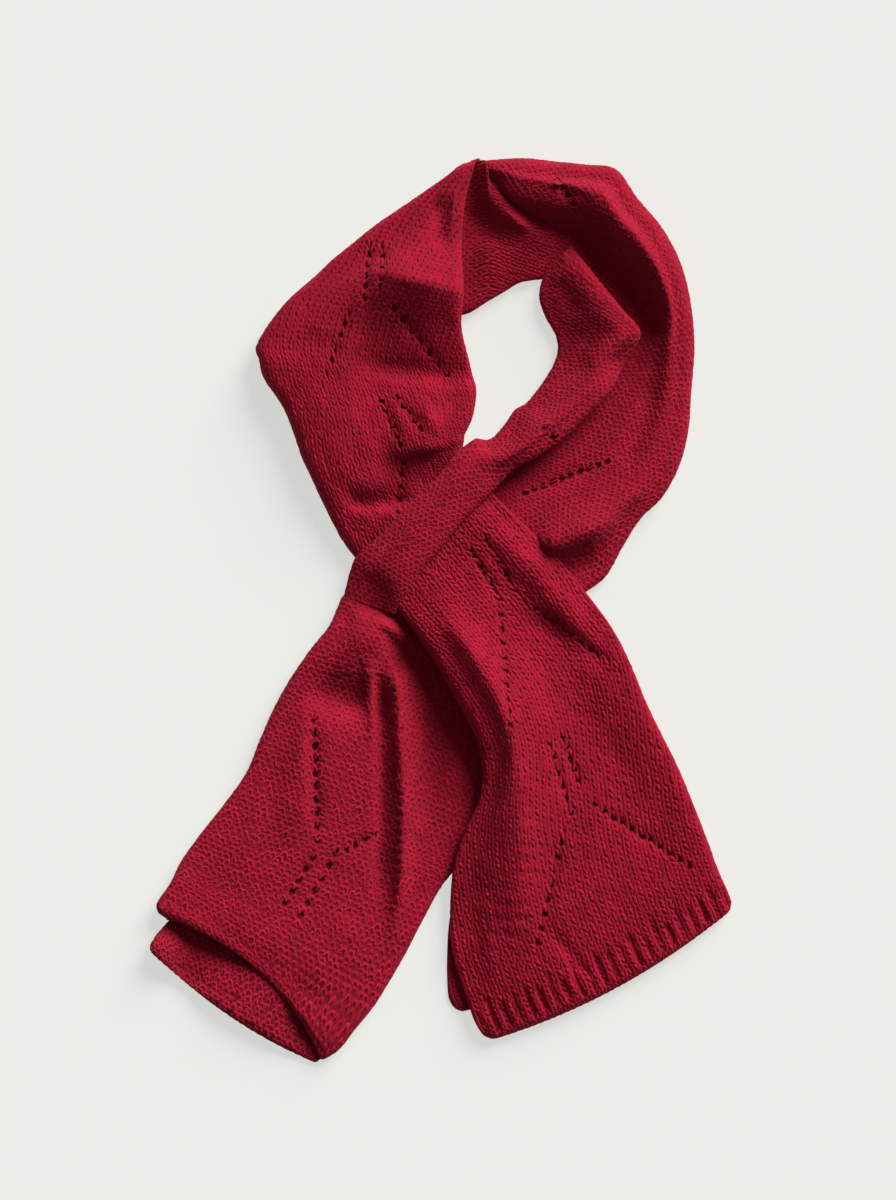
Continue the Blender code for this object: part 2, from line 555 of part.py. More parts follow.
def main():
    """Build every stretch of the scarf."""
    clear_scene()
    scarf = make_collection("knit_scarf")
    cutters = make_collection("cutters")
    wool = make_wool("wool", WOOL_COLOUR)
    shade = make_wool("wool_inside", WOOL_SHADE_COLOUR)

    fronts = [
        # name               sections    rows folds           lace holes
        ("left_leg_front", LEFT_LEG, 18, LEFT_LEG_FOLDS, LEFT_LEG_EYELETS),
        ("right_tail_front", RIGHT_TAIL, 18, RIGHT_TAIL_FOLDS, RIGHT_TAIL_EYELETS),
        ("left_tail_front", LEFT_TAIL, 18, LEFT_TAIL_FOLDS, LEFT_TAIL_EYELETS),
        ("right_leg_front", RIGHT_LEG, 22, RIGHT_LEG_FOLDS, RIGHT_LEG_EYELETS),
        ("neck_back", NECK_BACK, 10, [], []),
        ("inner_band", INNER_BAND, 15, [], []),
        ("strap", STRAP, 12, [], []),
    ]
    for name, table, count, folds, eyelets in fronts:
        wall = stretch_wall(name, table, count, folds, scarf, wool)
        if eyelets:
            cut_eyelets(wall, eyelets, table, count, folds, cutters)
    hem_wall("right_tail_hem", RIGHT_TAIL_HEM, RIGHT_HEM_RIBS, scarf, wool)
    hem_wall("left_tail_hem", LEFT_TAIL_HEM, LEFT_HEM_RIBS, scarf, wool)
    hidden_layers("left_leg_layers", LEFT_LEG_LAYERS, FOLDED_LAYERS, scarf, shade)
    hidden_layers("right_leg_back", RIGHT_LEG_LAYER, WALL, scarf, shade)
    hidden_layers("crossing_layers", CROSSING_LAYERS, FOLDED_LAYERS, scarf, shade)
    hidden_layers("right_tail_back", RIGHT_TAIL_LAYER, WALL, scarf, shade)
    hidden_layers("left_tail_back", LEFT_TAIL_LAYER, WALL, scarf, shade)
    stand_on_origin(scarf.objects, cutters.objects)


main()
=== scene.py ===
"""Looks of the knitted pull-through scarf, laid flat on a pale floor.

Each stretch of the strip is a thin shell of cloth, lofted through the same sections as its solids,
and covered with real stitches: knitted V's, purl bumps and ribs, placed on a lattice with each
stretch's own spacing and wrapped round its rolled edges. Tables are in millimetres, in the layout's
own frame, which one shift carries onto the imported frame.
"""
import logging
import math
from collections.abc import Sequence
from dataclasses import dataclass, field
from enum import Enum
from typing import NamedTuple

import bmesh
import bpy
import numpy as np
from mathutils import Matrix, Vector
from mathutils.bvhtree import BVHTree


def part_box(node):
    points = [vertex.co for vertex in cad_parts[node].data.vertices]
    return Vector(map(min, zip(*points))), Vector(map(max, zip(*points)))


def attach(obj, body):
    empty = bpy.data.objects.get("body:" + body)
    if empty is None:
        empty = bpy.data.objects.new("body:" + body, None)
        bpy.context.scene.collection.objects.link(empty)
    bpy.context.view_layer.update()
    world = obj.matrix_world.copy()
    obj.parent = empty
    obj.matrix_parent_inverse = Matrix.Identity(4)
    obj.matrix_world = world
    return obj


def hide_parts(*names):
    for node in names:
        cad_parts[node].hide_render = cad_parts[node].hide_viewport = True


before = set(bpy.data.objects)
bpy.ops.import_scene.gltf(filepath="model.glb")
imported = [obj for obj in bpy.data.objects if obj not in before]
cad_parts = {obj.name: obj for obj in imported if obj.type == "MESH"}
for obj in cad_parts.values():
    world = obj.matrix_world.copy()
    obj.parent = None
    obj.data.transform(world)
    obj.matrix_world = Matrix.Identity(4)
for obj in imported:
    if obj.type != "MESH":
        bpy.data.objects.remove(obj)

log = logging.getLogger("scarf")

# Sizes are in millimetres, and angles in degrees, where nothing else is said.
MM = 0.001
LAYER = 3.0                # thickness of one layer of the knitted cloth
SHELL = 1.0                # thickness of the shell that stands for it
BACKING = 0.25             # the shell lies this far under the crowns of the stitches
FLOOR_GAP = 0.05           # nothing comes closer to the floor than this
GRID = 2.0                 # spacing of the shell's points
CHART_STEP = 1.0           # spacing of the chart that stitches are placed from
SKY = 100.0                # height that is above everything
JOIN_PASSES = 2            # how often the join of an edge and the top is smoothed
FOLD_FADE = 6.0            # folds fade out over the outer sixth of the width
TURN_UNDER = 0.6           # the backing ends where a normal points down more than this
LOWEST_TILT = -0.35        # and stitches end where it points down more than this
SIGHT_START = 1.2          # lines of sight start this far above the cloth
SIGHT_REACH = 0.25         # and are this long, in metres
# Straight up, and six ways round at each of two heights.
SIGHT_LINES = np.array([(0, 0, 1)]
                       + [(math.cos(a) * math.cos(e), math.sin(a) * math.cos(e), math.sin(e))
                          for e in (math.radians(45), math.radians(12))
                          for a in np.linspace(0, 2 * math.pi, 7)[:-1]])


class Section(NamedTuple):
    """One section across a stretch, from its A side to its B side.

    A is on the right of someone who walks along the stretch. heights run from A to B, under_a and
    under_b are the heights of what each side lies on, bow is how far the section bows out along
    the stretch, and curl_a and curl_b how far the edges curl under.
    """

    ax: float
    ay: float
    bx: float
    by: float
    heights: tuple[float, ...]
    under_a: float = 0.0
    under_b: float = 0.0
    bow: float = 0.0
    curl_a: float = 180.0
    curl_b: float = 180.0


class Fold(NamedTuple):
    """A soft ridge or trough along a curve from a start to an end by way of a middle.

    width is its half-width on the left of someone who walks along it, and right its half-width on
    the other side, where that is another.
    """

    x0: float
    y0: float
    x1: float
    y1: float
    x2: float
    y2: float
    height: float
    width: float
    right: float = 0.0
    fade: float = 0.25        # share of its length over which each end fades out


class EyeletRow(NamedTuple):
    """A row of lace holes from its first hole to its last, turned with the knitted columns."""

    x0: float
    y0: float
    x1: float
    y1: float
    count: int
    turn: float


class Face(Enum):
    """Which face of the knitting shows."""

    KNIT = "knit"
    PURL = "purl"


class PanelLine(NamedTuple):
    """One line across a flat hidden layer."""

    ax: float
    ay: float
    bx: float
    by: float
    bow: float = 0.0


def sections(rows: Sequence[tuple], **shared: float) -> list[Section]:
    """Sections from plain rows of values, with the values that all of them share."""
    return [Section(*row, **shared) for row in rows]


LEFT_LEG = sections((
    # ax, ay, bx, by, heights from A to B, under_a, under_b
    (14.5, 289.5, 22.5, 291, (3, 3.5, 4, 4, 4, 3.5, 3)),
    (9.5, 286.5, 24.5, 290.3, (9, 10, 11, 11, 11, 10, 9), 0, 3),
    (4, 281.5, 21.5, 288, (13, 15, 17, 17, 17, 16, 15), 0, 8.3),
    (-14, 269, 15, 262, (12, 14, 16, 16.5, 15.5, 16, 15.5), 0, 8.3),
    (-42, 250, 13, 234, (12, 13.5, 16, 18.5, 19, 17.5, 16.5), 0, 8.3),
    (-62, 234, 14, 215, (12, 15, 21, 26, 27, 26.5, 23), 0, 8.3),
    (-73, 225, 14, 205, (12, 16, 24.5, 30.5, 32, 31.5, 27.5), 0, 8.3),
    (-81, 217, 13.5, 197, (12.5, 17, 23, 27.5, 28.5, 28, 25), 0, 8.3),
    (-103, 197, 13, 181, (14, 17, 19, 18.5, 18.5, 18, 16.5), 0, 8.3),
    (-120, 172, 18, 160, (16, 18.5, 20, 12.5, 10.5, 10, 10.5), 0, 3),
    (-118.7, 161, 20, 151, (18.5, 19.8, 19.5, 11, 8.3, 8.2, 9), 0, 1.5),
    (-115.5, 149, 22.5, 141, (19, 20.2, 18, 13, 12.5, 13.5, 12)),
    (-102, 128, 20, 124, (19.5, 20.5, 17.5, 15, 17.5, 19, 14)),
    (-91, 98, 15, 113, (19, 20, 17.5, 15, 19.5, 21.5, 15)),
    (-85, 85, 14.5, 109, (18.5, 19, 16.5, 14, 18.5, 20.5, 15)),
    (-79, 72, 14, 105, (16.5, 17.3, 15.5, 12.5, 12.5, 13, 13)),
    (-66, 46, 16, 98, (13, 14.5, 14.5, 12, 8.8, 9.5, 11.5)),
    (-55, 31, 18, 90, (12, 13, 13, 13, 13, 13, 13)),
))

NECK_BACK = sections((
    # after the heights: under_a, under_b, bow, curl_a, curl_b
    (2, 189, 2, 254, (7.2, 7.2, 7.2, 7.2, 7.2, 7.2, 7.2), 0, 0, 0, 180, 60),
    (16, 191, 18, 286, (7.3, 7.3, 7.3, 7.2, 7.2, 7.2, 7.3), 0, 0, 0, 180, 60),
    (28, 198, 29, 291, (7.6, 9.5, 10, 8.5, 11, 17, 18), 0, 0, 0, 180, 60),
    (40, 205, 30.5, 280, (7.6, 9.5, 10.5, 9.5, 11, 16, 17), 0, 0, 0, 180, 90),
    (50, 211, 43, 266, (7.6, 8.5, 9.5, 10.5, 12.5, 16, 16), 0, 0, 0, 180, 90),
    (60, 213, 60, 256, (7, 7.6, 8, 9, 10.5, 11.5, 11), 0, 0, 0, 180, 90),
    (71, 214, 79, 247, (5.5, 6, 6.2, 6.5, 6.5, 6.5, 6), 0, 0, 0, 180, 60),
    (84, 214, 96, 234, (4.5, 4.5, 4.5, 4.5, 4.5, 4.5, 4.5), 0, 0, 0, 180, 60),
))

RIGHT_LEG = sections((
    (25, 273, 25, 289.5, (4.8, 5.5, 7, 8.5, 10, 11, 10)),
    (29, 271.5, 32, 291, (4.8, 8, 12, 14.5, 16.5, 18, 17.5)),
    (37, 258, 54, 292, (4.8, 14, 19.5, 21.5, 22.8, 23.6, 21)),
    (49, 249, 73, 290, (4.8, 14.5, 21, 23.7, 25.2, 26, 20)),
    (64, 241.5, 94, 288, (4.8, 11, 20, 24.5, 26.5, 27, 17.5)),
    (80, 233, 113, 285, (4.8, 5.5, 14, 22.5, 27, 27.5, 17)),
    (87, 224, 127, 266, (4.8, 5, 9, 18.5, 27, 29, 18.5)),
    (98, 206, 142, 248, (4.8, 5, 6.5, 14, 24, 29.5, 22)),
    (110, 188, 154, 226, (4.8, 5, 5.5, 10, 18.5, 27, 23)),
    (118, 172, 161, 201, (4.8, 5, 5.5, 8, 15, 23, 20)),
    (108, 160, 164, 171, (4.8, 5, 5.8, 9, 13.5, 18, 15)),
    (98, 146, 162, 141, (4.8, 5, 7.5, 10, 10.5, 14, 12)),
    (85, 130, 160, 115, (4.8, 4.8, 7.5, 10.8, 10, 13.5, 11.5)),
    (70, 114, 154, 92, (4.8, 4.8, 6.8, 10.5, 10.5, 13.5, 11.5)),
    (57, 101, 143, 72, (4.8, 4.8, 6.2, 10, 11, 13, 11)),
    (44, 95, 129, 58, (4.8, 4.8, 5.6, 10, 12, 12, 10)),
    (34, 89, 117, 39, (4.8, 5, 6.5, 10.5, 12, 11, 8.5)),
    (27, 80, 106, 20, (4.8, 6, 7.2, 8.5, 8.5, 7.5, 7.4)),
    (20, 70, 88, 7, (4.8, 6.4, 7.2, 7.2, 7.2, 9, 7.6)),
), curl_a=30)

BAND_AND_STRAP = sections((
    (67, 219, 85, 237, (8, 8.5, 9, 10, 11, 11, 9), 0, 0, 0, 180, 40),
    (64, 211, 93, 225, (8.5, 11, 13, 15, 16.5, 17.5, 18), 0, 0, 0, 180, 60),
    (63, 201, 104, 210, (8, 11, 13.5, 16, 18.5, 20, 20.5), 0, 0, 0, 180, 80),
    (67, 189, 117, 194, (7.5, 10.5, 13.5, 16.5, 19.5, 21.5, 22), 0, 0, 0, 180, 80),
    (74, 176, 129, 178, (7.5, 10.5, 13.5, 17, 20.5, 22.5, 20.5), 0, 0, 0, 180, 80),
    (74, 163, 119, 160, (8, 10.5, 13, 17, 21.5, 20, 15.5), 0, 2, 0, 180, 100),
    (66, 148, 110, 142, (9, 12, 15, 18.5, 21.5, 22.5, 20.5), 0, 3, 0, 180, 110),
    (55, 134, 96, 127, (9, 12.5, 16, 20, 23, 24.5, 22.5), 0, 3, 0, 180, 110),
    (47, 129, 80, 111, (9, 13, 17, 21, 24, 26, 24), 0, 3, 0, 180, 110),
    (40, 119, 62, 98, (11, 15, 18.5, 22, 24.5, 26, 24), 0, 3, 0, 180, 110),
    (31, 110, 47, 90, (13, 16.5, 19.5, 22, 23.5, 24, 22), 0, 3, 0, 180, 110),
    (20, 110, 37, 80, (16.5, 20, 21.5, 22, 21.5, 21, 20), 0, 0, 0, 60, 90),
    (9, 101, 30, 73, (18.5, 22, 22.6, 22, 21.5, 21.5, 21), 0, 0, 0, 60, 90),
    (-3, 86, 22, 65, (19, 22.5, 22.8, 22, 21.5, 21.5, 21.5), 0, 0, 0, 70, 90),
    (-15, 74, 12, 55, (19, 22.5, 22.8, 22, 21.5, 22, 22), 0, 0, 0, 70, 90),
    (-28, 61, 1, 41, (19, 22.5, 22.8, 22, 21.5, 22, 22), 0, 0, 0, 70, 90),
    (-41, 47, -12, 26, (17.5, 20.5, 21.5, 21, 21, 21.5, 21.5), 0, 0, 0, 70, 90),
    (-55, 35, -20, 13, (14.5, 17.5, 18.5, 18.5, 19, 20, 20), 0, 0, 0, 70, 90),
    (-60, 24, -24, 5, (11, 12.5, 12.5, 12.5, 13.5, 15.5, 17), 0, 0, 0, 70, 80),
    (-64.2, 7.24, -28, -4.71, (8, 8.4, 8.4, 8.4, 8.6, 9.5, 12), 0, 0, 0, 70, 40),
))

RIGHT_TAIL = sections((
    (-38, 14, 25, 86, (14.5, 14.5, 14.5, 14, 14.5, 15, 12.5), 8.3, 8.3),
    (-26, -4, 32, 76, (16, 16.5, 16, 15, 15.5, 16, 12.5), 8.3, 8.3),
    (-14, -21, 53, 55, (22, 22, 18, 15.5, 15.5, 17.5, 12), 8.3, 8.3),
    (-1, -41, 75, 33, (25, 26, 20, 15, 14, 18, 11.5), 8.3, 8.3),
    (10, -61, 97, 6, (26.5, 28, 21.5, 14, 11.5, 16, 11), 8.3, 8.3),
    (21, -82, 112, -15, (26, 28, 22, 13.5, 10.5, 12.5, 10.5), 8.3, 5),
    (26, -105, 123, -37, (22.5, 25.5, 21, 13, 9.8, 11, 10.5), 8.3, 3.4),
    (23, -126, 132, -59, (19, 22.5, 20.5, 13, 9.5, 10, 10.5), 8.3),
    (14, -145, 141, -78, (16, 19.5, 19.5, 13, 9.5, 9, 10.5), 8.3),
    (7, -169, 153, -102, (12.5, 16, 18, 13.5, 10, 8.5, 10.5), 8.3),
    (5, -199, 163, -126, (8.6, 13.5, 14.5, 12.5, 10.5, 8.5, 10), 3.6, 0, 1),
    (7, -225, 172, -149, (8.6, 13, 14, 12.5, 10.5, 9, 9.5), 3.6, 0, 3),
    (16, -254, 180, -171, (8.5, 12, 13, 11.5, 10, 9.5, 9), 3.6, 0, 6),
    (20, -266, 185.5, -183, (8.5, 11, 12, 10.5, 9.7, 9, 8.5), 3.6, 0, 7),
    (24.5, -274.5, 188, -190, (8.3, 10, 10.8, 9.8, 9.3, 8.8, 8), 2.5, 0, 7),
    (28.5, -278.3, 187.5, -195, (7.4, 8.8, 9.4, 8.8, 8.4, 8, 7), 1.2, 0, 7.5),
    (32.5, -279.6, 185.5, -198, (5.6, 6.5, 6.8, 6.5, 6.2, 5.8, 5.2), 0, 0, 8),
    (35.5, -279.4, 183, -199.3, (3, 3.4, 3.6, 3.5, 3.3, 3, 2.6), 0, 0, 8.3),
    (36.5, -278.8, 181.5, -199.5, (1.2, 1.3, 1.3, 1.3, 1.3, 1.2, 1.1), 0, 0, 8.2),
))

LEFT_TAIL = sections((
    (-57, 17, -20, 2, (6.6, 6.8, 6.8, 6.8, 6.8, 6.8, 6.8)),
    (-65, 7.5, -15, -9, (8, 8, 7.6, 7.4, 7.2, 6.8, 6.6)),
    (-69, -1.5, -5, -21, (9, 14, 16.5, 16.5, 11, 6.2, 6.2)),
    (-74, -12, 13, -38, (13, 18.5, 17, 5.6, 5.4, 5.8, 6.2)),
    (-86, -27, 27, -62, (13, 15, 12.5, 6.8, 5.4, 6, 6.8)),
    (-99, -46, 37, -91, (11, 9.5, 8.2, 9, 5.2, 6.2, 7)),
    (-109, -64, 40, -118, (10, 14.5, 12.5, 12, 5.2, 7.2, 7.2)),
    (-118, -84, 32, -145, (10, 14.5, 13.5, 12.5, 7, 6.5, 7.2)),
    (-127, -106, 14, -165, (10, 14, 13.5, 12.5, 10.5, 6.5, 7.2)),
    (-141, -126, 1, -179, (9, 13, 13, 12.5, 12, 9, 7.2)),
    (-156, -145, -13, -204, (9, 12, 12.5, 12.5, 12, 11.5, 8.8)),
    (-169, -163, -25, -227, (9, 11.5, 12.5, 12.5, 12.5, 12.5, 9)),
    (-177, -179, -43, -257, (11, 12.5, 13.5, 13, 12.5, 12, 10), 3.8),
    (-183, -187, -57, -275, (11, 13, 13, 12, 11.7, 11.5, 10), 5, 0, -7),
    (-185.5, -192, -66, -286, (11.5, 13.5, 13, 11.5, 11.3, 11.5, 10), 5, 0, -12),
    (-184.5, -197, -73, -291, (10.3, 12.5, 12, 10.7, 10.5, 11, 9), 4.5, 0, -14),
    (-181, -200, -77, -293, (8, 10, 9.7, 9, 8.9, 9, 7), 4, 0, -15),
    (-178, -200.5, -79, -293, (6, 7.6, 7.4, 7, 7, 7, 5), 3, 0, -15),
))

LEFT_TAIL_LAYER_HEM = sections((
    (-179, -204, -66, -262, (4, 3, 4.5, 7.5, 7.5, 5, 3)),
    (-186, -212, -71, -277, (11, 4, 7, 9, 8.5, 4.5, 3), 0, 0, 3),
    (-189.5, -217, -74, -286, (13, 4, 7.5, 9.5, 9, 5, 3), 0, 0, 4),
    (-190, -221, -77, -291, (12.5, 4.5, 8, 9.5, 9, 5.5, 3), 0, 0, 5),
    (-187.5, -224.5, -80, -294, (9, 5, 7, 8, 7.5, 5, 3), 0, 0, 5.5),
    (-184.5, -226.5, -82, -295, (5, 3.4, 4.2, 4.5, 4.5, 3.5, 2.2), 0, 0, 6),
    (-183, -226.5, -83, -295, (2, 1.4, 1.4, 1.4, 1.4, 1.4, 1.2), 0, 0, 6),
))

LEFT_LEG_FOLDS = [Fold(*row) for row in (
    # start, middle, end, height, left, right, fade
    (-82, 71, -50, 63, -14, 73, -6, 8, 4), (-4, 268, 0, 250, -1, 230, -3, 6),
    (9, 276, 10, 248, 10, 222, 2.5, 4), (-52, 154, -15, 154, 19, 143, -2, 8, 4),
    (-14, 134, -6, 118, 8, 106, 2.5, 5), (8, 129, 10, 118, 10, 109, -2, 5),
    (-98, 178, -80, 165, -64, 170, -1.5, 9), (-66, 132, -50, 118, -46, 96, 1.5, 8),
)]
NECK_BACK_FOLDS = [Fold(*row) for row in (
    (33, 284, 42, 258, 60, 241, 3, 6, 3.5), (16, 262, 24, 246, 40, 240, -2, 7),
)]
RIGHT_LEG_FOLDS = [Fold(*row) for row in (
    (172, 88, 120, 54, 56, 36, 11, 8, 13, 0.15), (122, 36, 98, 24, 62, 22, -2.5, 8),
    (60, 286, 85, 276, 104, 262, 1.5, 4), (142, 156, 124, 118, 118, 88, -1.5, 9),
)]
BAND_FOLDS = [Fold(*row) for row in (
    (74, 216, 82, 200, 92, 190, -2, 7), (70, 150, 84, 152, 98, 160, -1.5, 6),
    (14, 92, -18, 68, -52, 44, 1.6, 4),
)]
RIGHT_TAIL_FOLDS = [Fold(*row) for row in (
    (-5, -5, 64, -60, 48, -225, 5.5, 9, 19, 0.15), (50, -2, 82, -20, 114, -44, -2, 7),
    (68, -206, 82, -222, 96, -240, -2, 4), (24, -180, 28, -215, 34, -246, 1.5, 7),
    (96, -60, 110, -90, 124, -118, -1.2, 10), (16, -150, 20, -190, 24, -235, -1.5, 6),
)]
LEFT_TAIL_FOLDS = [Fold(*row) for row in (
    (-42, -36, -34, -105, -41, -190, -4.5, 4, 4, 0.15),
    (-33, -32, -19, -128, -32, -232, 8.5, 9.5, 4.5, 0.1), (-48, -28, -46, -55, -43, -90, 3, 4),
    (-90, -50, -68, -60, -46, -62, -3.8, 15, 8), (-84, -60, -84, -110, -82, -150, -1, 5),
    (-95, -48, -95, -105, -96, -165, 1.5, 8), (-91, -50, -90, -100, -89, -148, 1.3, 4),
    (-58, -196, -70, -222, -84, -250, 1.5, 10), (-120, -120, -128, -150, -132, -190, 1.2, 12),
    (-12, -60, -4, -100, -10, -150, -1.5, 8),
)]

LEFT_LEG_LAYERS = [PanelLine(*row) for row in (
    # ax, ay, bx, by, bow
    (-24, 246, 0, 238), (-57, 222, 0, 207), (-87, 196, -1, 184), (-102, 170, 3, 160),
    (-98, 148, 4, 141), (-88, 127, 1, 124), (-76, 102, -3, 111), (-62, 76, -4, 100),
    (-47, 54, -1, 89),
)]
RIGHT_LEG_LAYER = [PanelLine(*row) for row in (
    (83, 257, 98, 273), (108, 240, 113, 251), (130, 210, 140, 218), (135, 185, 144, 192),
    (133, 163, 144, 166), (121, 144, 143, 142), (104, 126, 142, 118), (88, 109, 140, 97),
    (73, 95, 124, 80), (59, 88, 111, 65), (50, 78, 100, 48), (44, 68, 89, 32),
)]
CROSSING_LAYERS = [PanelLine(*row) for row in (
    (-33, 27, 5, 62), (-6, 2, 44, 38), (16, -24, 76, 6), (35, -62, 88, -18),
)]
RIGHT_TAIL_LAYER = [PanelLine(*row) for row in (
    (37, -64, 91, -19), (43, -84, 106, -33), (44, -108, 111, -49), (41, -132, 117, -71),
    (28, -154, 128, -88), (13, -176, 139, -111), (5, -200, 149, -134), (3, -227, 159, -157),
    (3.5, -249, 165, -178, 3), (5.5, -256.5, 169, -188, 4), (9, -260.5, 171, -194, 5),
    (13, -262, 171, -197, 5.5),
)]
LEFT_TAIL_LAYER = [PanelLine(*row) for row in (
    (-70, -32, 12, -52), (-84, -52, 22, -87), (-95, -70, 25, -112), (-104, -92, 17, -136),
    (-113, -114, -4, -156), (-127, -134, -19, -177), (-140, -153, -32, -200),
    (-152, -171, -45, -221), (-166, -190, -58, -246),
)]

LEFT_LEG_EYELETS = [EyeletRow(*row) for row in (
    # first hole, last hole, count, turn
    (-47, 236, -50, 201, 6, -3), (-38, 234, -40, 207, 5, -3), (-60, 191, -78, 145, 7, -10),
    (-31, 194, 3, 152, 7, 10), (-39, 134, -27, 106, 6, 22), (-29, 136, -14, 116, 5, 22),
    (-25, 95, -29, 62, 5, 10),
)]
RIGHT_LEG_EYELETS = [EyeletRow(*row) for row in (
    (54, 75, 107, 95, 10, -45), (74, 277, 84, 262, 4, 60),
)]
BAND_EYELETS = [EyeletRow(*row) for row in (
    (66, 116, 71.5, 110.5, 2, -45),
)]
RIGHT_TAIL_EYELETS = [EyeletRow(*row) for row in (
    (18, 38, 38, 6, 7, 28), (28, 45, 47, 12, 7, 28), (54, 4, 114, -39, 11, 28),
    (38, -5, 44, -76, 9, 10), (70, -89, 83, -132, 6, 18), (78, -84, 91, -119, 6, 18),
    (99, -128, 160, -167, 11, 22), (79, -143, 62, -217, 9, 5),
)]
LEFT_TAIL_EYELETS = [EyeletRow(*row) for row in (
    (-84, -162, -102, -191, 5, -30), (-69, -159, -92, -199, 6, -30),
    (-81, -150, -83, -72, 10, -10), (-62, -157, -44, -146, 4, -20),
)]


def blend(low: float | np.ndarray, high: float | np.ndarray, share: np.ndarray) -> np.ndarray:
    """Mix two values by a share from 0 to 1."""
    return low + (high - low) * share


def soft_step(value: float | np.ndarray) -> float | np.ndarray:
    """Smooth ramp from 0 to 1."""
    value = np.clip(value, 0.0, 1.0)
    return value * value * (3 - 2 * value)


def resample(values: np.ndarray, count: int) -> np.ndarray:
    """Read a smooth curve through evenly spaced rows.

    Args:
        values: One row of numbers for each step of the curve.
        count: How many rows the result has.

    Returns:
        Rows spread evenly along the curve, from its first to its last.
    """
    last = len(values) - 1
    place = np.linspace(0, last, count)
    step = np.minimum(place.astype(int), last - 1)
    t = (place - step)[:, None]
    before, start = values[np.maximum(step - 1, 0)], values[step]
    end, after = values[step + 1], values[np.minimum(step + 2, last)]
    return 0.5 * (2 * start + (end - before) * t
                  + (2 * before - 5 * start + 4 * end - after) * t * t
                  + (3 * start - before - 3 * end + after) * t ** 3)


def fold_heights(folds: Sequence[Fold], plan: np.ndarray) -> np.ndarray:
    """Height that the folds add at each place of the plan.

    Args:
        folds: The ridges and troughs.
        plan: Places in millimetres, in an array whose last axis is (x, y).

    Returns:
        One height for each place.
    """
    total = np.zeros(plan.shape[:-1])
    t = np.linspace(0, 1, 33)[:, None]
    for fold in folds:
        curve = ((1 - t) ** 2 * [fold.x0, fold.y0] + 2 * t * (1 - t) * [fold.x1, fold.y1]
                 + t * t * [fold.x2, fold.y2])
        gaps = np.linalg.norm(plan[..., None, :] - curve, axis=-1)
        nearest = gaps.argmin(axis=-1)
        place = t[nearest, 0]
        ends = soft_step(np.minimum(place, 1 - place) / fold.fade)
        run = np.gradient(curve, axis=0)[nearest]
        away = plan - curve[nearest]
        left = run[..., 0] * away[..., 1] - run[..., 1] * away[..., 0] > 0
        width = np.where(left, fold.width, fold.right or fold.width)
        total += fold.height * ends * np.exp(-(gaps.min(axis=-1) / width) ** 2)
    return total


def run_lengths(points: np.ndarray) -> np.ndarray:
    """Length run along a line of points up to each of them."""
    steps = np.linalg.norm(np.diff(points, axis=0), axis=-1)
    return np.concatenate([[0.0], np.cumsum(steps)])


def unit(vectors: np.ndarray) -> np.ndarray:
    """Vectors scaled to length 1."""
    return vectors / np.maximum(np.linalg.norm(vectors, axis=-1, keepdims=True), 1e-9)


@dataclass(frozen=True)
class RolledEdge:
    """How the knitting rolls under at its edges."""

    reach: float = 10.5            # widest inset of a rolled edge from its outline
    flatness: float = 1.35         # how much wider it is than high
    open_radius: float = 4.5       # how round an edge is that doesn't roll under
    open_curl: float = 70.0        # an edge that curls no further than this is open
    curl_ramp: float = 100.0       # this much further, it is rolled right under
    hook_curl: float = 120.0       # an edge that curls further than this has a tuck
    tuck: float = 7.0              # how far a tuck runs back under the strip
    tuck_gap: float = 0.9          # what it leaves free up to the strip's middle
    tuck_least: float = 0.8

    def profile(self, under: np.ndarray, crest: np.ndarray, curl: np.ndarray,
                width: np.ndarray) -> tuple[np.ndarray, np.ndarray]:
        """Profiles of one edge, from its inner end up to its crest.

        Args:
            under: Height of what the edge lies on, for each row.
            crest: Height of the cloth where the edge meets the top.
            curl: How far the edge curls under, in degrees.
            width: Width of each section.

        Returns:
            Insets from the outline and heights, each as rows by places.
        """
        hook = soft_step((curl - self.open_curl) / self.curl_ramp)
        rise = blend(self.open_radius, (crest - under) / 2, hook)
        inset = np.minimum(np.minimum(self.reach, rise * self.flatness), width / 4)
        steps = max(3, int(np.radians(curl.max()) * rise.max() / GRID) + 1)
        angles = np.radians(90.0 - curl[:, None] * np.linspace(1, 0, steps + 1))
        insets = inset[:, None] * (1 - np.cos(angles))
        heights = (crest - rise)[:, None] + rise[:, None] * np.sin(angles)
        if curl.max() > self.hook_curl:
            room = width / 2 - inset - self.tuck_gap
            tuck = np.maximum(np.minimum(self.tuck, room) * hook, self.tuck_least)
            back = tuck[:, None] * np.linspace(1, 0, 4)[:-1]
            run_in = -np.sin(angles[:, :1])
            run_down = -np.cos(angles[:, :1])
            insets = np.hstack([insets[:, :1] + back * run_in, insets])
            heights = np.hstack([heights[:, :1] + back * run_down, heights])
        return insets, heights


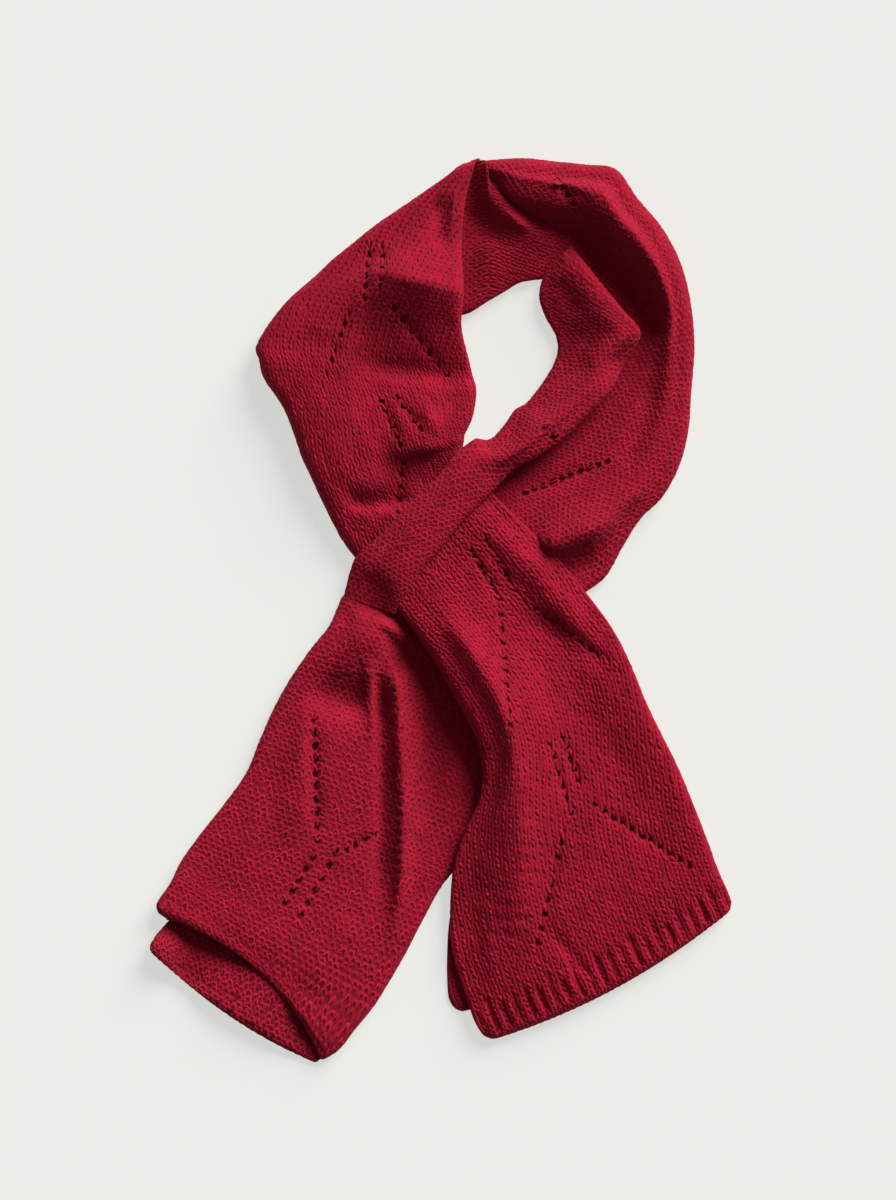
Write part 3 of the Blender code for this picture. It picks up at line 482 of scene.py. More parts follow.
@dataclass
class Surface:
    """The outer face of a stretch of cloth, and its chart of places along and across the strip."""

    sections: Sequence[Section]
    folds: Sequence[Fold]
    guide: Sequence[float]
    grid: float = GRID
    edge: RolledEdge = RolledEdge()
    points: np.ndarray = field(init=False)
    normals: np.ndarray = field(init=False)
    spans: np.ndarray = field(init=False)
    reach: int = field(init=False)
    chart: np.ndarray = field(init=False)
    guide_runs: np.ndarray = field(init=False)

    def __post_init__(self) -> None:
        """Loft the face and measure its chart."""
        self.points, guide_column = self.loft()
        self.normals = self.face_normals(self.points)
        self.measure(guide_column)

    def loft(self) -> tuple[np.ndarray, np.ndarray]:
        """Points of the face through all sections.

        Returns:
            The grid of points, rows along the strip by places from edge A to edge B, and for each
            row the place, counted in columns, that the guide runs through.
        """
        table = np.array([[*row[:4], row.under_a, row.under_b, row.curl_a, row.curl_b, row.bow,
                           *row.heights] for row in self.sections], dtype=float)
        middle = (table[:, 0:2] + table[:, 2:4]) / 2
        count = int(run_lengths(middle)[-1] / self.grid) + 2
        rows = resample(table, count)
        start, span, crests = rows[:, 0:2], rows[:, 2:4] - rows[:, 0:2], rows[:, 9:]
        under_a, under_b, curl_a, curl_b, bow = rows[:, 4:9].T
        width = np.linalg.norm(span, axis=1)
        across = span / width[:, None]
        forward = np.stack([across[:, 1], -across[:, 0]], axis=1)
        edge_a = self.edge.profile(np.maximum(under_a, 0), crests[:, 0], curl_a, width)
        edge_b = self.edge.profile(np.maximum(under_b, 0), crests[:, -1], curl_b, width)
        first, last = edge_a[0][:, -1], width - edge_b[0][:, -1]
        places = int(width.max() / self.grid) + 2
        shares = np.linspace(0, 1, places)
        inset = blend(first[:, None], last[:, None], shares)
        top = resample(crests.T, places).T
        insets = np.hstack([edge_a[0][:, :-1], inset,
                            (width[:, None] - edge_b[0][:, :-1])[:, ::-1]])
        heights = np.hstack([edge_a[1][:, :-1], top, edge_b[1][:, :-1][:, ::-1]])
        part = insets / width[:, None]
        bulge = bow[:, None] * 4 * part * (1 - part)
        plan = (start[:, None] + across[:, None] * insets[..., None]
                + forward[:, None] * bulge[..., None])
        lead = edge_a[0].shape[1] - 1
        mask = soft_step(FOLD_FADE * np.minimum(shares, 1 - shares))
        body = slice(lead, lead + places)
        heights[:, body] += mask * fold_heights(self.folds, plan[:, body])
        for join in (lead, lead + places - 1):
            for _ in range(JOIN_PASSES):
                near = heights[:, join - 2:join + 3]
                smooth = (near[:, :-2] + 2 * near[:, 1:-1] + near[:, 2:]) / 4
                heights[:, join - 1:join + 2] = smooth
        guide = resample(np.array(self.guide, dtype=float)[:, None], count)[:, 0] * width
        column = lead + (guide - first) / (last - first) * (places - 1)
        return np.concatenate([plan, heights[..., None]], axis=-1), column

    @staticmethod
    def face_normals(grid: np.ndarray) -> np.ndarray:
        """Outward unit normals of a grid."""
        return unit(np.cross(np.gradient(grid, axis=0), np.gradient(grid, axis=1)))

    def measure(self, column: np.ndarray) -> None:
        """Resample every row by length run from the guide, and measure the guide itself.

        Args:
            column: For each lofted row, the place that the guide runs through.
        """
        places = self.points.shape[1]
        runs = np.array([run_lengths(row) for row in self.points])
        index = np.arange(places)
        at_guide = np.array([np.interp(c, index, run) for c, run in zip(column, runs)])
        self.spans = np.stack([-at_guide, runs[:, -1] - at_guide], axis=1)
        self.reach = int(np.abs(self.spans).max() / CHART_STEP) + 2
        marks = np.arange(-self.reach, self.reach + 1) * CHART_STEP
        both = np.concatenate([self.points, self.normals], axis=-1)
        self.chart = np.array([
            [np.interp(marks, run - start, row[:, axis]) for axis in range(6)]
            for run, start, row in zip(runs, at_guide, both)]).transpose(0, 2, 1)
        self.guide_runs = run_lengths(self.chart[:, self.reach, :3])

    @property
    def length(self) -> float:
        """Length of the stretch along its guide, in millimetres."""
        return float(self.guide_runs[-1])

    def at(self, along: np.ndarray,
           across: np.ndarray) -> tuple[np.ndarray, np.ndarray, np.ndarray]:
        """Read the chart.

        Args:
            along: Lengths run along the guide.
            across: Lengths run across from the guide, positive towards edge B.

        Returns:
            Points, unit normals, and how far inside the edges each place is.
        """
        row = np.interp(along, self.guide_runs, np.arange(len(self.guide_runs)))
        low = np.minimum(row.astype(int), len(self.guide_runs) - 2)
        part = (row - low)[:, None]
        span = blend(self.spans[low], self.spans[low + 1], part)
        inside = np.minimum(across - span[:, 0], span[:, 1] - across)
        mark = np.clip(across, span[:, 0], span[:, 1]) / CHART_STEP + self.reach
        left = np.clip(mark.astype(int), 0, 2 * self.reach - 1)
        share = (mark - left)[:, None]
        before, after = (blend(self.chart[rows, left], self.chart[rows, left + 1], share)
                         for rows in (low, low + 1))
        value = blend(before, after, part)
        return value[:, :3], unit(value[:, 3:]), inside

    def flat_size(self) -> tuple[float, float, float]:
        """Size of the cloth when it is laid out flat.

        Returns:
            Its mean width, its length and its area, in metres and square metres.
        """
        corner = self.points[:-1, :-1]
        along, across = self.points[1:, :-1] - corner, self.points[:-1, 1:] - corner
        area = float(np.linalg.norm(np.cross(along, across), axis=-1).sum()) * MM * MM
        width = float((self.spans[:, 1] - self.spans[:, 0]).mean()) * MM
        return width, area / width, area


def to_linear(colour: str) -> tuple[float, float, float, float]:
    """Linear RGBA of an sRGB hex colour.

    Args:
        colour: Six hex digits after a hash sign.

    Returns:
        The colour as Blender's sockets want it, opaque.
    """
    parts = [int(colour[k:k + 2], 16) / 255 for k in (1, 3, 5)]
    red, green, blue = (c / 12.92 if c <= 0.04045 else ((c + 0.055) / 1.055) ** 2.4 for c in parts)
    return red, green, blue, 1.0


def add_node(tree: bpy.types.NodeTree, kind: str, settings: dict | None = None,
             inputs: dict | None = None) -> bpy.types.Node:
    """Add a node with its settings, values and links.

    Args:
        tree: The tree that gets the node.
        kind: The node's type.
        settings: Values of the node's own properties.
        inputs: Values or linked sockets, by the input's name or by its place in the list.

    Returns:
        The new node.
    """
    node = tree.nodes.new(kind)
    for name, value in (settings or {}).items():
        setattr(node, name, value)
    for key, value in (inputs or {}).items():
        if isinstance(key, int):
            socket = node.inputs[key]
        else:
            socket = next(item for item in node.inputs if item.name == key and item.enabled)
        if isinstance(value, bpy.types.NodeSocket):
            tree.links.new(value, socket)
        else:
            socket.default_value = value
    return node


def new_material(name: str, values: dict[str, object]) -> bpy.types.Material:
    """Start a material.

    Args:
        name: What the real material is.
        values: Constant values of the shader's own sockets, by their names.

    Returns:
        The material.
    """
    material = bpy.data.materials.new(name)
    material.use_nodes = True
    shader = material.node_tree.nodes["Principled BSDF"]
    for socket, value in values.items():
        shader.inputs[socket].default_value = value
    return material


def dye(material: bpy.types.Material, colours: tuple[str, str], share: bpy.types.NodeSocket,
        relief: tuple[float, float], height: bpy.types.NodeSocket) -> None:
    """Give a wool material its two-toned colour and its relief.

    Args:
        material: The material.
        colours: Its deep colour and its light one.
        share: How light it is at each place, from 0 to 1; where it is low in the cloth's gaps, that
            is painted shade.
        relief: The relief's strength, and its depth in millimetres.
        height: How high it is at each place, from 0 to 1.
    """
    tree = material.node_tree
    shader = tree.nodes["Principled BSDF"]
    deep, light = colours
    strength, depth = relief
    colour = add_node(tree, "ShaderNodeMix", {"data_type": "RGBA"}, {
        "Factor": share, "A": to_linear(deep), "B": to_linear(light)})
    bump = add_node(tree, "ShaderNodeBump", inputs={
        "Strength": strength, "Distance": depth * MM, "Height": height})
    tree.links.new(colour.outputs[2], shader.inputs["Base Color"])
    tree.links.new(bump.outputs["Normal"], shader.inputs["Normal"])
    material.diffuse_color = to_linear(light)


@dataclass(frozen=True)
class WoolYarn:
    """Worsted wool yarn, spun and dyed deep red: matte, with a soft halo of loose fibres."""

    name: str = "worsted_wool_yarn_dyed"
    colour: str = "#A1132E"
    deep_colour: str = "#840D23"
    halo_colour: str = "#E8707F"
    roughness: float = 0.92
    specular: float = 0.12
    halo: float = 0.12
    halo_roughness: float = 0.45
    mottle_mm: float = 14.0
    fibre_mm: float = 0.9          # real fibres are 0.02 mm, drawn coarser so that they show
    ply_depth_mm: float = 0.14
    ply_strength: float = 0.6

    def material(self) -> bpy.types.Material:
        """Make the yarn's material.

        The eye gets soft mottling over a few stitches, a small change from stitch to stitch, and
        a pale edge where the halo of fibres catches the light.

        Returns:
            The material.
        """
        material = new_material(self.name, {
            "Roughness": self.roughness, "Specular IOR Level": self.specular,
            "Sheen Weight": self.halo, "Sheen Roughness": self.halo_roughness,
            "Sheen Tint": to_linear(self.halo_colour)})
        tree = material.node_tree
        place = add_node(tree, "ShaderNodeTexCoord").outputs["Object"]
        mottle = add_node(tree, "ShaderNodeTexNoise", inputs={
            "Vector": place, "Scale": 1 / (self.mottle_mm * MM), "Detail": 3.0})
        fibres = add_node(tree, "ShaderNodeTexNoise", inputs={
            "Vector": place, "Scale": 1 / (self.fibre_mm * MM), "Detail": 2.0, "Roughness": 0.65})
        shade = add_node(tree, "ShaderNodeAttribute", {"attribute_name": "shade"})
        spread = add_node(tree, "ShaderNodeMapRange", inputs={
            "Value": mottle.outputs["Fac"], "From Min": 0.3, "From Max": 0.7, "To Min": 0.15,
            "To Max": 0.75})
        share = add_node(tree, "ShaderNodeMath", {"operation": "ADD", "use_clamp": True}, {
            0: spread.outputs["Result"], 1: shade.outputs["Fac"]})
        dye(material, (self.deep_colour, self.colour), share.outputs[0],
            (self.ply_strength, self.ply_depth_mm), fibres.outputs["Fac"])
        return material


@dataclass(frozen=True)
class WoolCloth:
    """The same wool as knitted cloth, seen between the stitches and where layers lie folded, with
    painted shade in the gaps between its bumps.
    """

    name: str
    colour: str
    # deep_colour is painted shade, laid into the gaps between the bumps
    deep_colour: str
    stitch_width: float = 5.5
    stitch_height: float = 3.6
    roughness: float = 0.95
    specular: float = 0.15
    halo: float = 0.03
    relief_mm: float = 0.35
    relief_strength: float = 0.9

    def material(self) -> bpy.types.Material:
        """Make the cloth's material.

        The eye gets rows of half-offset bumps at one spacing for all stretches, darker in the gaps:
        painted shade.

        Returns:
            The material.
        """
        material = new_material(self.name, {
            "Roughness": self.roughness, "Specular IOR Level": self.specular,
            "Sheen Weight": self.halo})
        tree = material.node_tree
        chart = add_node(tree, "ShaderNodeUVMap", {"uv_map": "strip"}).outputs["UV"]
        parts = add_node(tree, "ShaderNodeSeparateXYZ", inputs={"Vector": chart})
        across = add_node(tree, "ShaderNodeMath", {"operation": "DIVIDE"}, {
            0: parts.outputs["X"], 1: self.stitch_width * MM}).outputs[0]
        along = add_node(tree, "ShaderNodeMath", {"operation": "DIVIDE"}, {
            0: parts.outputs["Y"], 1: self.stitch_height * MM}).outputs[0]
        sheared = add_node(tree, "ShaderNodeMath", {"operation": "MULTIPLY_ADD"}, {
            0: along, 1: 0.5, 2: across})
        cells = add_node(tree, "ShaderNodeCombineXYZ", inputs={
            "X": sheared.outputs[0], "Y": along})
        stitches = add_node(tree, "ShaderNodeTexVoronoi", {"voronoi_dimensions": "2D"}, {
            "Vector": cells.outputs["Vector"], "Scale": 1.0, "Randomness": 0.15})
        crowns = add_node(tree, "ShaderNodeMapRange", inputs={
            "Value": stitches.outputs["Distance"], "From Min": 0.1, "From Max": 0.65,
            "To Min": 1.0, "To Max": 0.0}).outputs["Result"]
        # The deep colour goes into the gaps between the bumps as painted shade.
        dye(material, (self.deep_colour, self.colour), crowns,
            (self.relief_strength, self.relief_mm), crowns)
        return material


@dataclass(frozen=True)
class LightPanel:
    """White acrylic panel, lit from behind: flat and matte, so that shadows on it stay light."""

    name: str = "white_acrylic_lit_from_behind"
    colour: str = "#868684"
    glow: str = "#CDCECA"
    roughness: float = 0.9

    def material(self) -> bpy.types.Material:
        """Make the panel's material.

        The eye reads it as a plain pale ground.

        Returns:
            The material.
        """
        return new_material(self.name, {
            "Base Color": to_linear(self.colour), "Roughness": self.roughness,
            "Specular IOR Level": 0.0, "Emission Color": to_linear(self.glow),
            "Emission Strength": 1.0})


class StitchTree:
    """Geometry Nodes that set one stitch on every point of a lattice."""

    INPUTS = (("Stitch Width", 5.5 * MM), ("Stitch Height", 3.8 * MM),
              ("Yarn Thickness", 2.4 * MM), ("Unevenness", 1.0))

    def __init__(self, face: Face) -> None:
        """Build the tree of one face of the knitting.

        Args:
            face: Which face's stitches the tree makes.
        """
        self.tree = bpy.data.node_groups.new(f"{face.value}_stitches", "GeometryNodeTree")
        group = self.tree.interface
        group.new_socket("Geometry", in_out="INPUT", socket_type="NodeSocketGeometry")
        for name, value in self.INPUTS:
            socket = group.new_socket(name, in_out="INPUT", socket_type="NodeSocketFloat")
            socket.default_value = value
        group.new_socket("Seed", in_out="INPUT", socket_type="NodeSocketInt")
        group.new_socket("Yarn", in_out="INPUT", socket_type="NodeSocketMaterial")
        group.new_socket("Geometry", in_out="OUTPUT", socket_type="NodeSocketGeometry")
        self.sizes = add_node(self.tree, "NodeGroupInput").outputs
        strands = self.knit_strands() if face is Face.KNIT else self.purl_strands()
        self.set_on_points(strands)

    def product(self, size: str, factor: float) -> bpy.types.NodeSocket:
        """One of the named sizes times a factor."""
        return add_node(self.tree, "ShaderNodeMath", {"operation": "MULTIPLY"}, {
            0: self.sizes[size], 1: factor}).outputs[0]

    def spot(self, x: float, y: float, z: float) -> bpy.types.NodeSocket:
        """A place in the stitch.

        Args:
            x: Its place across, in shares of the stitch's width.
            y: Its place along, in shares of the stitch's height.
            z: How high it is, in shares of the yarn's thickness.

        Returns:
            The socket that carries it.
        """
        return add_node(self.tree, "ShaderNodeCombineXYZ", inputs={
            "X": self.product("Stitch Width", x), "Y": self.product("Stitch Height", y),
            "Z": self.product("Yarn Thickness", z)}).outputs[0]

    def strand(self, spots: Sequence[tuple[float, float, float]],
               ends: float) -> bpy.types.NodeSocket:
        """A tapered length of yarn.

        Args:
            spots: Its start, the point that pulls its middle, and its end.
            ends: How thick its ends are, in shares of its middle.

        Returns:
            The socket that carries its mesh.
        """
        start, middle, end = (self.spot(*spot) for spot in spots)
        path = add_node(self.tree, "GeometryNodeCurveQuadraticBezier", inputs={
            "Resolution": 3, "Start": start, "Middle": middle, "End": end})
        share = add_node(self.tree, "GeometryNodeSplineParameter").outputs["Factor"]
        turn = add_node(self.tree, "ShaderNodeMath", {"operation": "MULTIPLY"}, {
            0: share, 1: math.pi})
        swell = add_node(self.tree, "ShaderNodeMath", {"operation": "SINE"}, {0: turn.outputs[0]})
        taper = add_node(self.tree, "ShaderNodeMath", {"operation": "MULTIPLY_ADD"}, {
            0: swell.outputs[0], 1: 1 - ends, 2: ends})
        round_yarn = add_node(self.tree, "GeometryNodeCurvePrimitiveCircle", inputs={
            "Resolution": 5, "Radius": self.product("Yarn Thickness", 0.5)})
        return add_node(self.tree, "GeometryNodeCurveToMesh", inputs={
            "Curve": path.outputs["Curve"], "Profile Curve": round_yarn.outputs["Curve"],
            "Scale": taper.outputs[0], "Fill Caps": True}).outputs["Mesh"]

    def knit_strands(self) -> list[bpy.types.NodeSocket]:
        """The two legs of a knitted V."""
        return [self.strand([(side * 0.06, -0.68, -0.62), (side * 0.26, 0.0, -0.1),
                             (side * 0.43, 0.68, -0.62)], 0.72) for side in (-1, 1)]

    def purl_strands(self) -> list[bpy.types.NodeSocket]:
        """The arch of a purl bump, which overlaps the next two as a fish's scales do."""
        return [self.strand([(-0.46, -0.75, -0.7), (0.0, 1.05, 0.0), (0.46, -0.75, -0.7)], 0.7)]

    def set_on_points(self, strands: Sequence[bpy.types.NodeSocket]) -> None:
        """Set the strands on the lattice's points, slightly uneven, and finish the mesh.

        Args:
            strands: The meshes that make up one stitch.
        """
        tree = self.tree
        stitch = add_node(tree, "GeometryNodeJoinGeometry")
        for strand in strands:
            tree.links.new(strand, stitch.inputs["Geometry"])
        turn, tone = (add_node(tree, "GeometryNodeInputNamedAttribute", {"data_type": "FLOAT"}, {
            "Name": name}).outputs["Attribute"] for name in ("turn", "tone"))
        lean = add_node(tree, "ShaderNodeCombineXYZ", inputs={"Z": turn})
        swing = add_node(tree, "ShaderNodeVectorMath", {"operation": "ADD"}, {
            0: self.uneven((-0.12, -0.12, -0.13), (0.12, 0.12, 0.13), 1, 0.0),
            1: lean.outputs[0]})
        size = self.uneven((-0.10, -0.10, -0.16), (0.10, 0.10, 0.16), 2, 1.0)
        placed = add_node(tree, "GeometryNodeInstanceOnPoints", inputs={
            "Points": self.sizes["Geometry"], "Instance": stitch.outputs[0],
            "Rotation": swing.outputs[0], "Scale": size})
        shaded = add_node(tree, "GeometryNodeStoreNamedAttribute",
                          {"data_type": "FLOAT", "domain": "INSTANCE"}, {
                              "Geometry": placed.outputs[0], "Name": "shade", "Value": tone})
        real = add_node(tree, "GeometryNodeRealizeInstances", inputs={
            "Geometry": shaded.outputs[0]})
        soft = add_node(tree, "GeometryNodeSetShadeSmooth", inputs={"Geometry": real.outputs[0]})
        dyed = add_node(tree, "GeometryNodeSetMaterial", inputs={
            "Geometry": soft.outputs[0], "Material": self.sizes["Yarn"]})
        add_node(tree, "NodeGroupOutput", inputs={"Geometry": dyed.outputs[0]})

    def uneven(self, low: tuple[float, float, float], high: tuple[float, float, float], extra: int,
               middle: float) -> bpy.types.NodeSocket:
        """A small random vector for each stitch.

        Args:
            low: Its lowest values at an unevenness of 1.
            high: Its highest values.
            extra: Added to the seed, so that each use has its own draws.
            middle: The value that the vector varies about.

        Returns:
            The socket that carries it.
        """
        seed = add_node(self.tree, "ShaderNodeMath", {"operation": "ADD"}, {
            0: self.sizes["Seed"], 1: float(extra)})
        draw = add_node(self.tree, "FunctionNodeRandomValue", {"data_type": "FLOAT_VECTOR"}, {
            "Min": low, "Max": high, "Seed": seed.outputs[0]})
        scaled = add_node(self.tree, "ShaderNodeVectorMath", {"operation": "SCALE"}, {
            "Vector": draw.outputs[0], "Scale": self.sizes["Unevenness"]})
        return add_node(self.tree, "ShaderNodeVectorMath", {"operation": "ADD"}, {
            0: scaled.outputs[0], 1: (middle, middle, middle)}).outputs[0]

    def grow(self, points: bpy.types.Object, values: dict[str, object]) -> None:
        """Turn an object's points into stitches and leave a plain mesh.

        Args:
            points: The object with one vertex for each stitch.
            values: Values of the tree's inputs, by name.
        """
        modifier = points.modifiers.new("stitches", "NODES")
        modifier.node_group = self.tree
        for item in self.tree.interface.items_tree:
            if item.item_type == "SOCKET" and item.in_out == "INPUT" and item.name in values:
                modifier[item.identifier] = values[item.name]
        apply_modifiers(points)


def apply_modifiers(thing: bpy.types.Object) -> None:
    """Turn an object's modified shape into its plain mesh, without modifiers.

    Args:
        thing: The object.
    """
    graph = bpy.context.evaluated_depsgraph_get()
    mesh = bpy.data.meshes.new_from_object(thing.evaluated_get(graph), depsgraph=graph)
    old = thing.data
    thing.modifiers.clear()
    thing.data = mesh
    mesh.name = thing.name
    if old.users == 0:
        bpy.data.meshes.remove(old)


def link_object(name: str, mesh: bpy.types.Mesh) -> bpy.types.Object:
    """Put a mesh in the scene as an object at the origin.

    Args:
        name: The object's name.
        mesh: Its mesh.

    Returns:
        The object.
    """
    thing = bpy.data.objects.new(name, mesh)
    bpy.context.scene.collection.objects.link(thing)
    return thing


@dataclass
class Cells:
    """Stitches to be set: where they are on the strip, and where that is on the scarf."""

    across: np.ndarray
    along: np.ndarray
    spots: np.ndarray
    normals: np.ndarray

    def pick(self, keep: np.ndarray) -> "Cells":
        """The stitches that a mask or a list of numbers keeps."""
        return Cells(self.across[keep], self.along[keep], self.spots[keep], self.normals[keep])


@dataclass(frozen=True)
class Gauge:
    """Size and face of a stretch's stitches, and how far they differ."""

    width: float
    height: float
    face: Face
    yarn: float = 2.4
    uneven: float = 1.0            # how far the stitches stray, turn and differ
    turned: bool = False           # knitted from the stretch's end towards its start
    relief: float = 0.24           # worn wool lies this much flatter than round yarn
    tones: tuple[float, float] = (-0.12, 0.18)
    stray: float = 0.2             # how far a stitch strays at an unevenness of 1
    drift: float = 0.3             # how far columns wander
    drift_along: float = 0.21      # and how fast they do, along the strip and across it
    drift_across: float = 0.9
    overhang: float = 0.1          # share of its width by which a stitch may pass an edge


@dataclass
class Workshop:
    """What every stretch is made with: the frame's shift, the finishes and the stitch trees."""

    shift: np.ndarray
    yarn: bpy.types.Material
    cloth: bpy.types.Material
    # folded is the darker copy of the cloth, which paints shade on layers that lie underneath
    folded: bpy.types.Material
    trees: dict[Face, StitchTree]

    def place(self, points: np.ndarray) -> np.ndarray:
        """Carry points from the layout in millimetres to the frame in metres."""
        return (points + self.shift) * MM


@dataclass(frozen=True)
class Hem:
    """A ribbed hem with its cast-on edge: furrows between raised ribs, no two quite alike."""

    length: float
    depth: float = 0.0             # of the furrows
    period: float = 8.5            # from one raised rib to the next
    uneven: float = 4.0            # how far the furrows' starts differ
    variety: float = 0.25          # share by which their depths differ
    start_turn: float = 2.7        # radians from rib to rib, so that no two neighbours match
    depth_turn: float = 4.1
    ramp: float = 5.0              # a furrow gets its depth over this length
    margin: float = 8.0            # it ends this far from the cast-on edge
    end_ramp: float = 6.0          # and fades out over this length
    edge_run: float = 6.0          # the edge's stitches cover this much of the strip's end
    edge_stitch: float = 4.6
    edge_yarn: float = 2.6
    edge_margin: float = 0.8       # the last of them ends this far inside the cloth

    def furrows(self, across: np.ndarray, along: np.ndarray, end: float) -> np.ndarray:
        """How far the cloth sinks between the ribs.

        Args:
            across: Lengths run across from the guide.
            along: Lengths run along the guide.
            end: Where the cast-on edge is along the guide.

        Returns:
            One depth for each place.
        """
        number = np.floor(across / self.period)
        start = end - self.length + self.uneven * (1 + np.sin(number * self.start_turn))
        waves = (0.5 - 0.5 * np.cos(2 * math.pi * across / self.period)) ** 2
        waves *= 1 - self.variety + self.variety * np.sin(number * self.depth_turn)
        rise = soft_step((along - start) / self.ramp)
        fall = soft_step((end - along - self.margin) / self.end_ramp)
        return self.depth * waves * (rise * fall)


@dataclass(frozen=True)
class Lace:
    """Rows of lace holes, and how the knitting lies round them."""

    rows: Sequence[EyeletRow] = ()
    sink: float = 1.3              # the rows lie in troughs this deep
    sink_width: float = 4.0
    width: float = 3.6             # of a hole
    length: float = 5.8
    sides: int = 8
    cut: float = 1.6               # how far the cut goes past both faces of the shell
    steepest: float = 0.4          # least upward part of a normal that a hole is tilted by
    push: float = 1.8              # how far stitches are drawn aside round a hole
    push_reach: float = 5.0        # how far from its middle they are drawn aside
    push_top: float = 0.3          # and only where a normal points up more than this
    gap: float = 2.0               # no stitch lies closer to its middle than this
    shade_layer_size: float = 1.7       # the dark layer of painted shade under a hole is this much wider than it
    shade_layer_top: float = 0.5        # and lies from here to there under the shell
    shade_layer_bottom: float = 1.3

    def troughs(self) -> list[Fold]:
        """One shallow trough along each row."""
        return [Fold(row.x0, row.y0, (row.x0 + row.x1) / 2, (row.y0 + row.y1) / 2,
                     row.x1, row.y1, -self.sink, self.sink_width) for row in self.rows]

    def holes(self) -> np.ndarray:
        """Places and turns of all holes.

        Returns:
            Rows of (x, y, turn).
        """
        spots = [(blend(row.x0, row.x1, part), blend(row.y0, row.y1, part), row.turn)
                 for row in self.rows for part in np.linspace(0, 1, row.count)]
        return np.array(spots).reshape(-1, 3)

    def prisms(self, name: str, outer: np.ndarray, shop: Workshop,
               sizes: tuple[float, float, float]) -> bpy.types.Object:
        """Prisms at all holes, upright but cut along the cloth's own slope.

        Args:
            name: The name of the object that they make up.
            outer: The shell's outer face.
            shop: The frame's shift.
            sizes: Their width in shares of a hole's, and where they start and end above the
                outer face.

        Returns:
            The object.
        """
        size, low, high = sizes
        tree = tree_of(outer)
        shape = bmesh.new()
        for x, y, turn in self.holes():
            top, normal = tree.ray_cast(Vector((x, y, SKY)), Vector((0, 0, -1)))[:2]
            upward = max(abs(normal.z), self.steepest)
            tilt = np.array(normal[:2]) / upward * math.copysign(1.0, normal.z)
            angle = math.radians(turn)
            across = np.array([math.cos(angle), math.sin(angle)]) * size * self.width / 2
            along = np.array([math.sin(angle), -math.cos(angle)]) * size * self.length / 2
            ring = [(x, y) + across * math.cos(a) + along * math.sin(a)
                    for a in np.radians(np.arange(0, 360, 360 / self.sides))]
            slope = [top.z - float((spot - (x, y)) @ tilt) for spot in ring]
            bottom, lid = (
                [shape.verts.new(shop.place(np.array([*spot, height + rise])))
                 for spot, height in zip(ring, slope)] for rise in (low, high))
            faces = [shape.faces.new(bottom), shape.faces.new(lid)]
            faces += [shape.faces.new((bottom[k - 1], bottom[k], lid[k], lid[k - 1]))
                      for k in range(self.sides)]
            bmesh.ops.recalc_face_normals(shape, faces=faces)
        mesh = bpy.data.meshes.new(name)
        shape.to_mesh(mesh)
        shape.free()
        return link_object(name, mesh)

    def drawn_aside(self, cells: Cells, surface: Surface) -> Cells:
        """Draw the stitches aside round the holes.

        Args:
            cells: All stitches, which are moved.
            surface: The surface that they lie on.

        Returns:
            Those that lie outside the holes.
        """
        away = cells.spots[:, None, :2] - self.holes()[None, :, :2]
        gaps = np.linalg.norm(away, axis=2)
        nearest = gaps.argmin(axis=1)
        gap = gaps.min(axis=1)
        aside = away[np.arange(len(gap)), nearest] / np.maximum(gap, 0.1)[:, None]
        push = self.push * np.clip(1 - gap / self.push_reach, 0, 1)
        push *= cells.normals[:, 2] > self.push_top
        side = unit((surface.at(cells.along, cells.across + 1.0)[0] - cells.spots)[:, :2])
        cells.across += push * (aside * side).sum(axis=1)
        cells.along += push * (aside[:, 0] * side[:, 1] - aside[:, 1] * side[:, 0])
        return cells.pick(gap > self.gap)


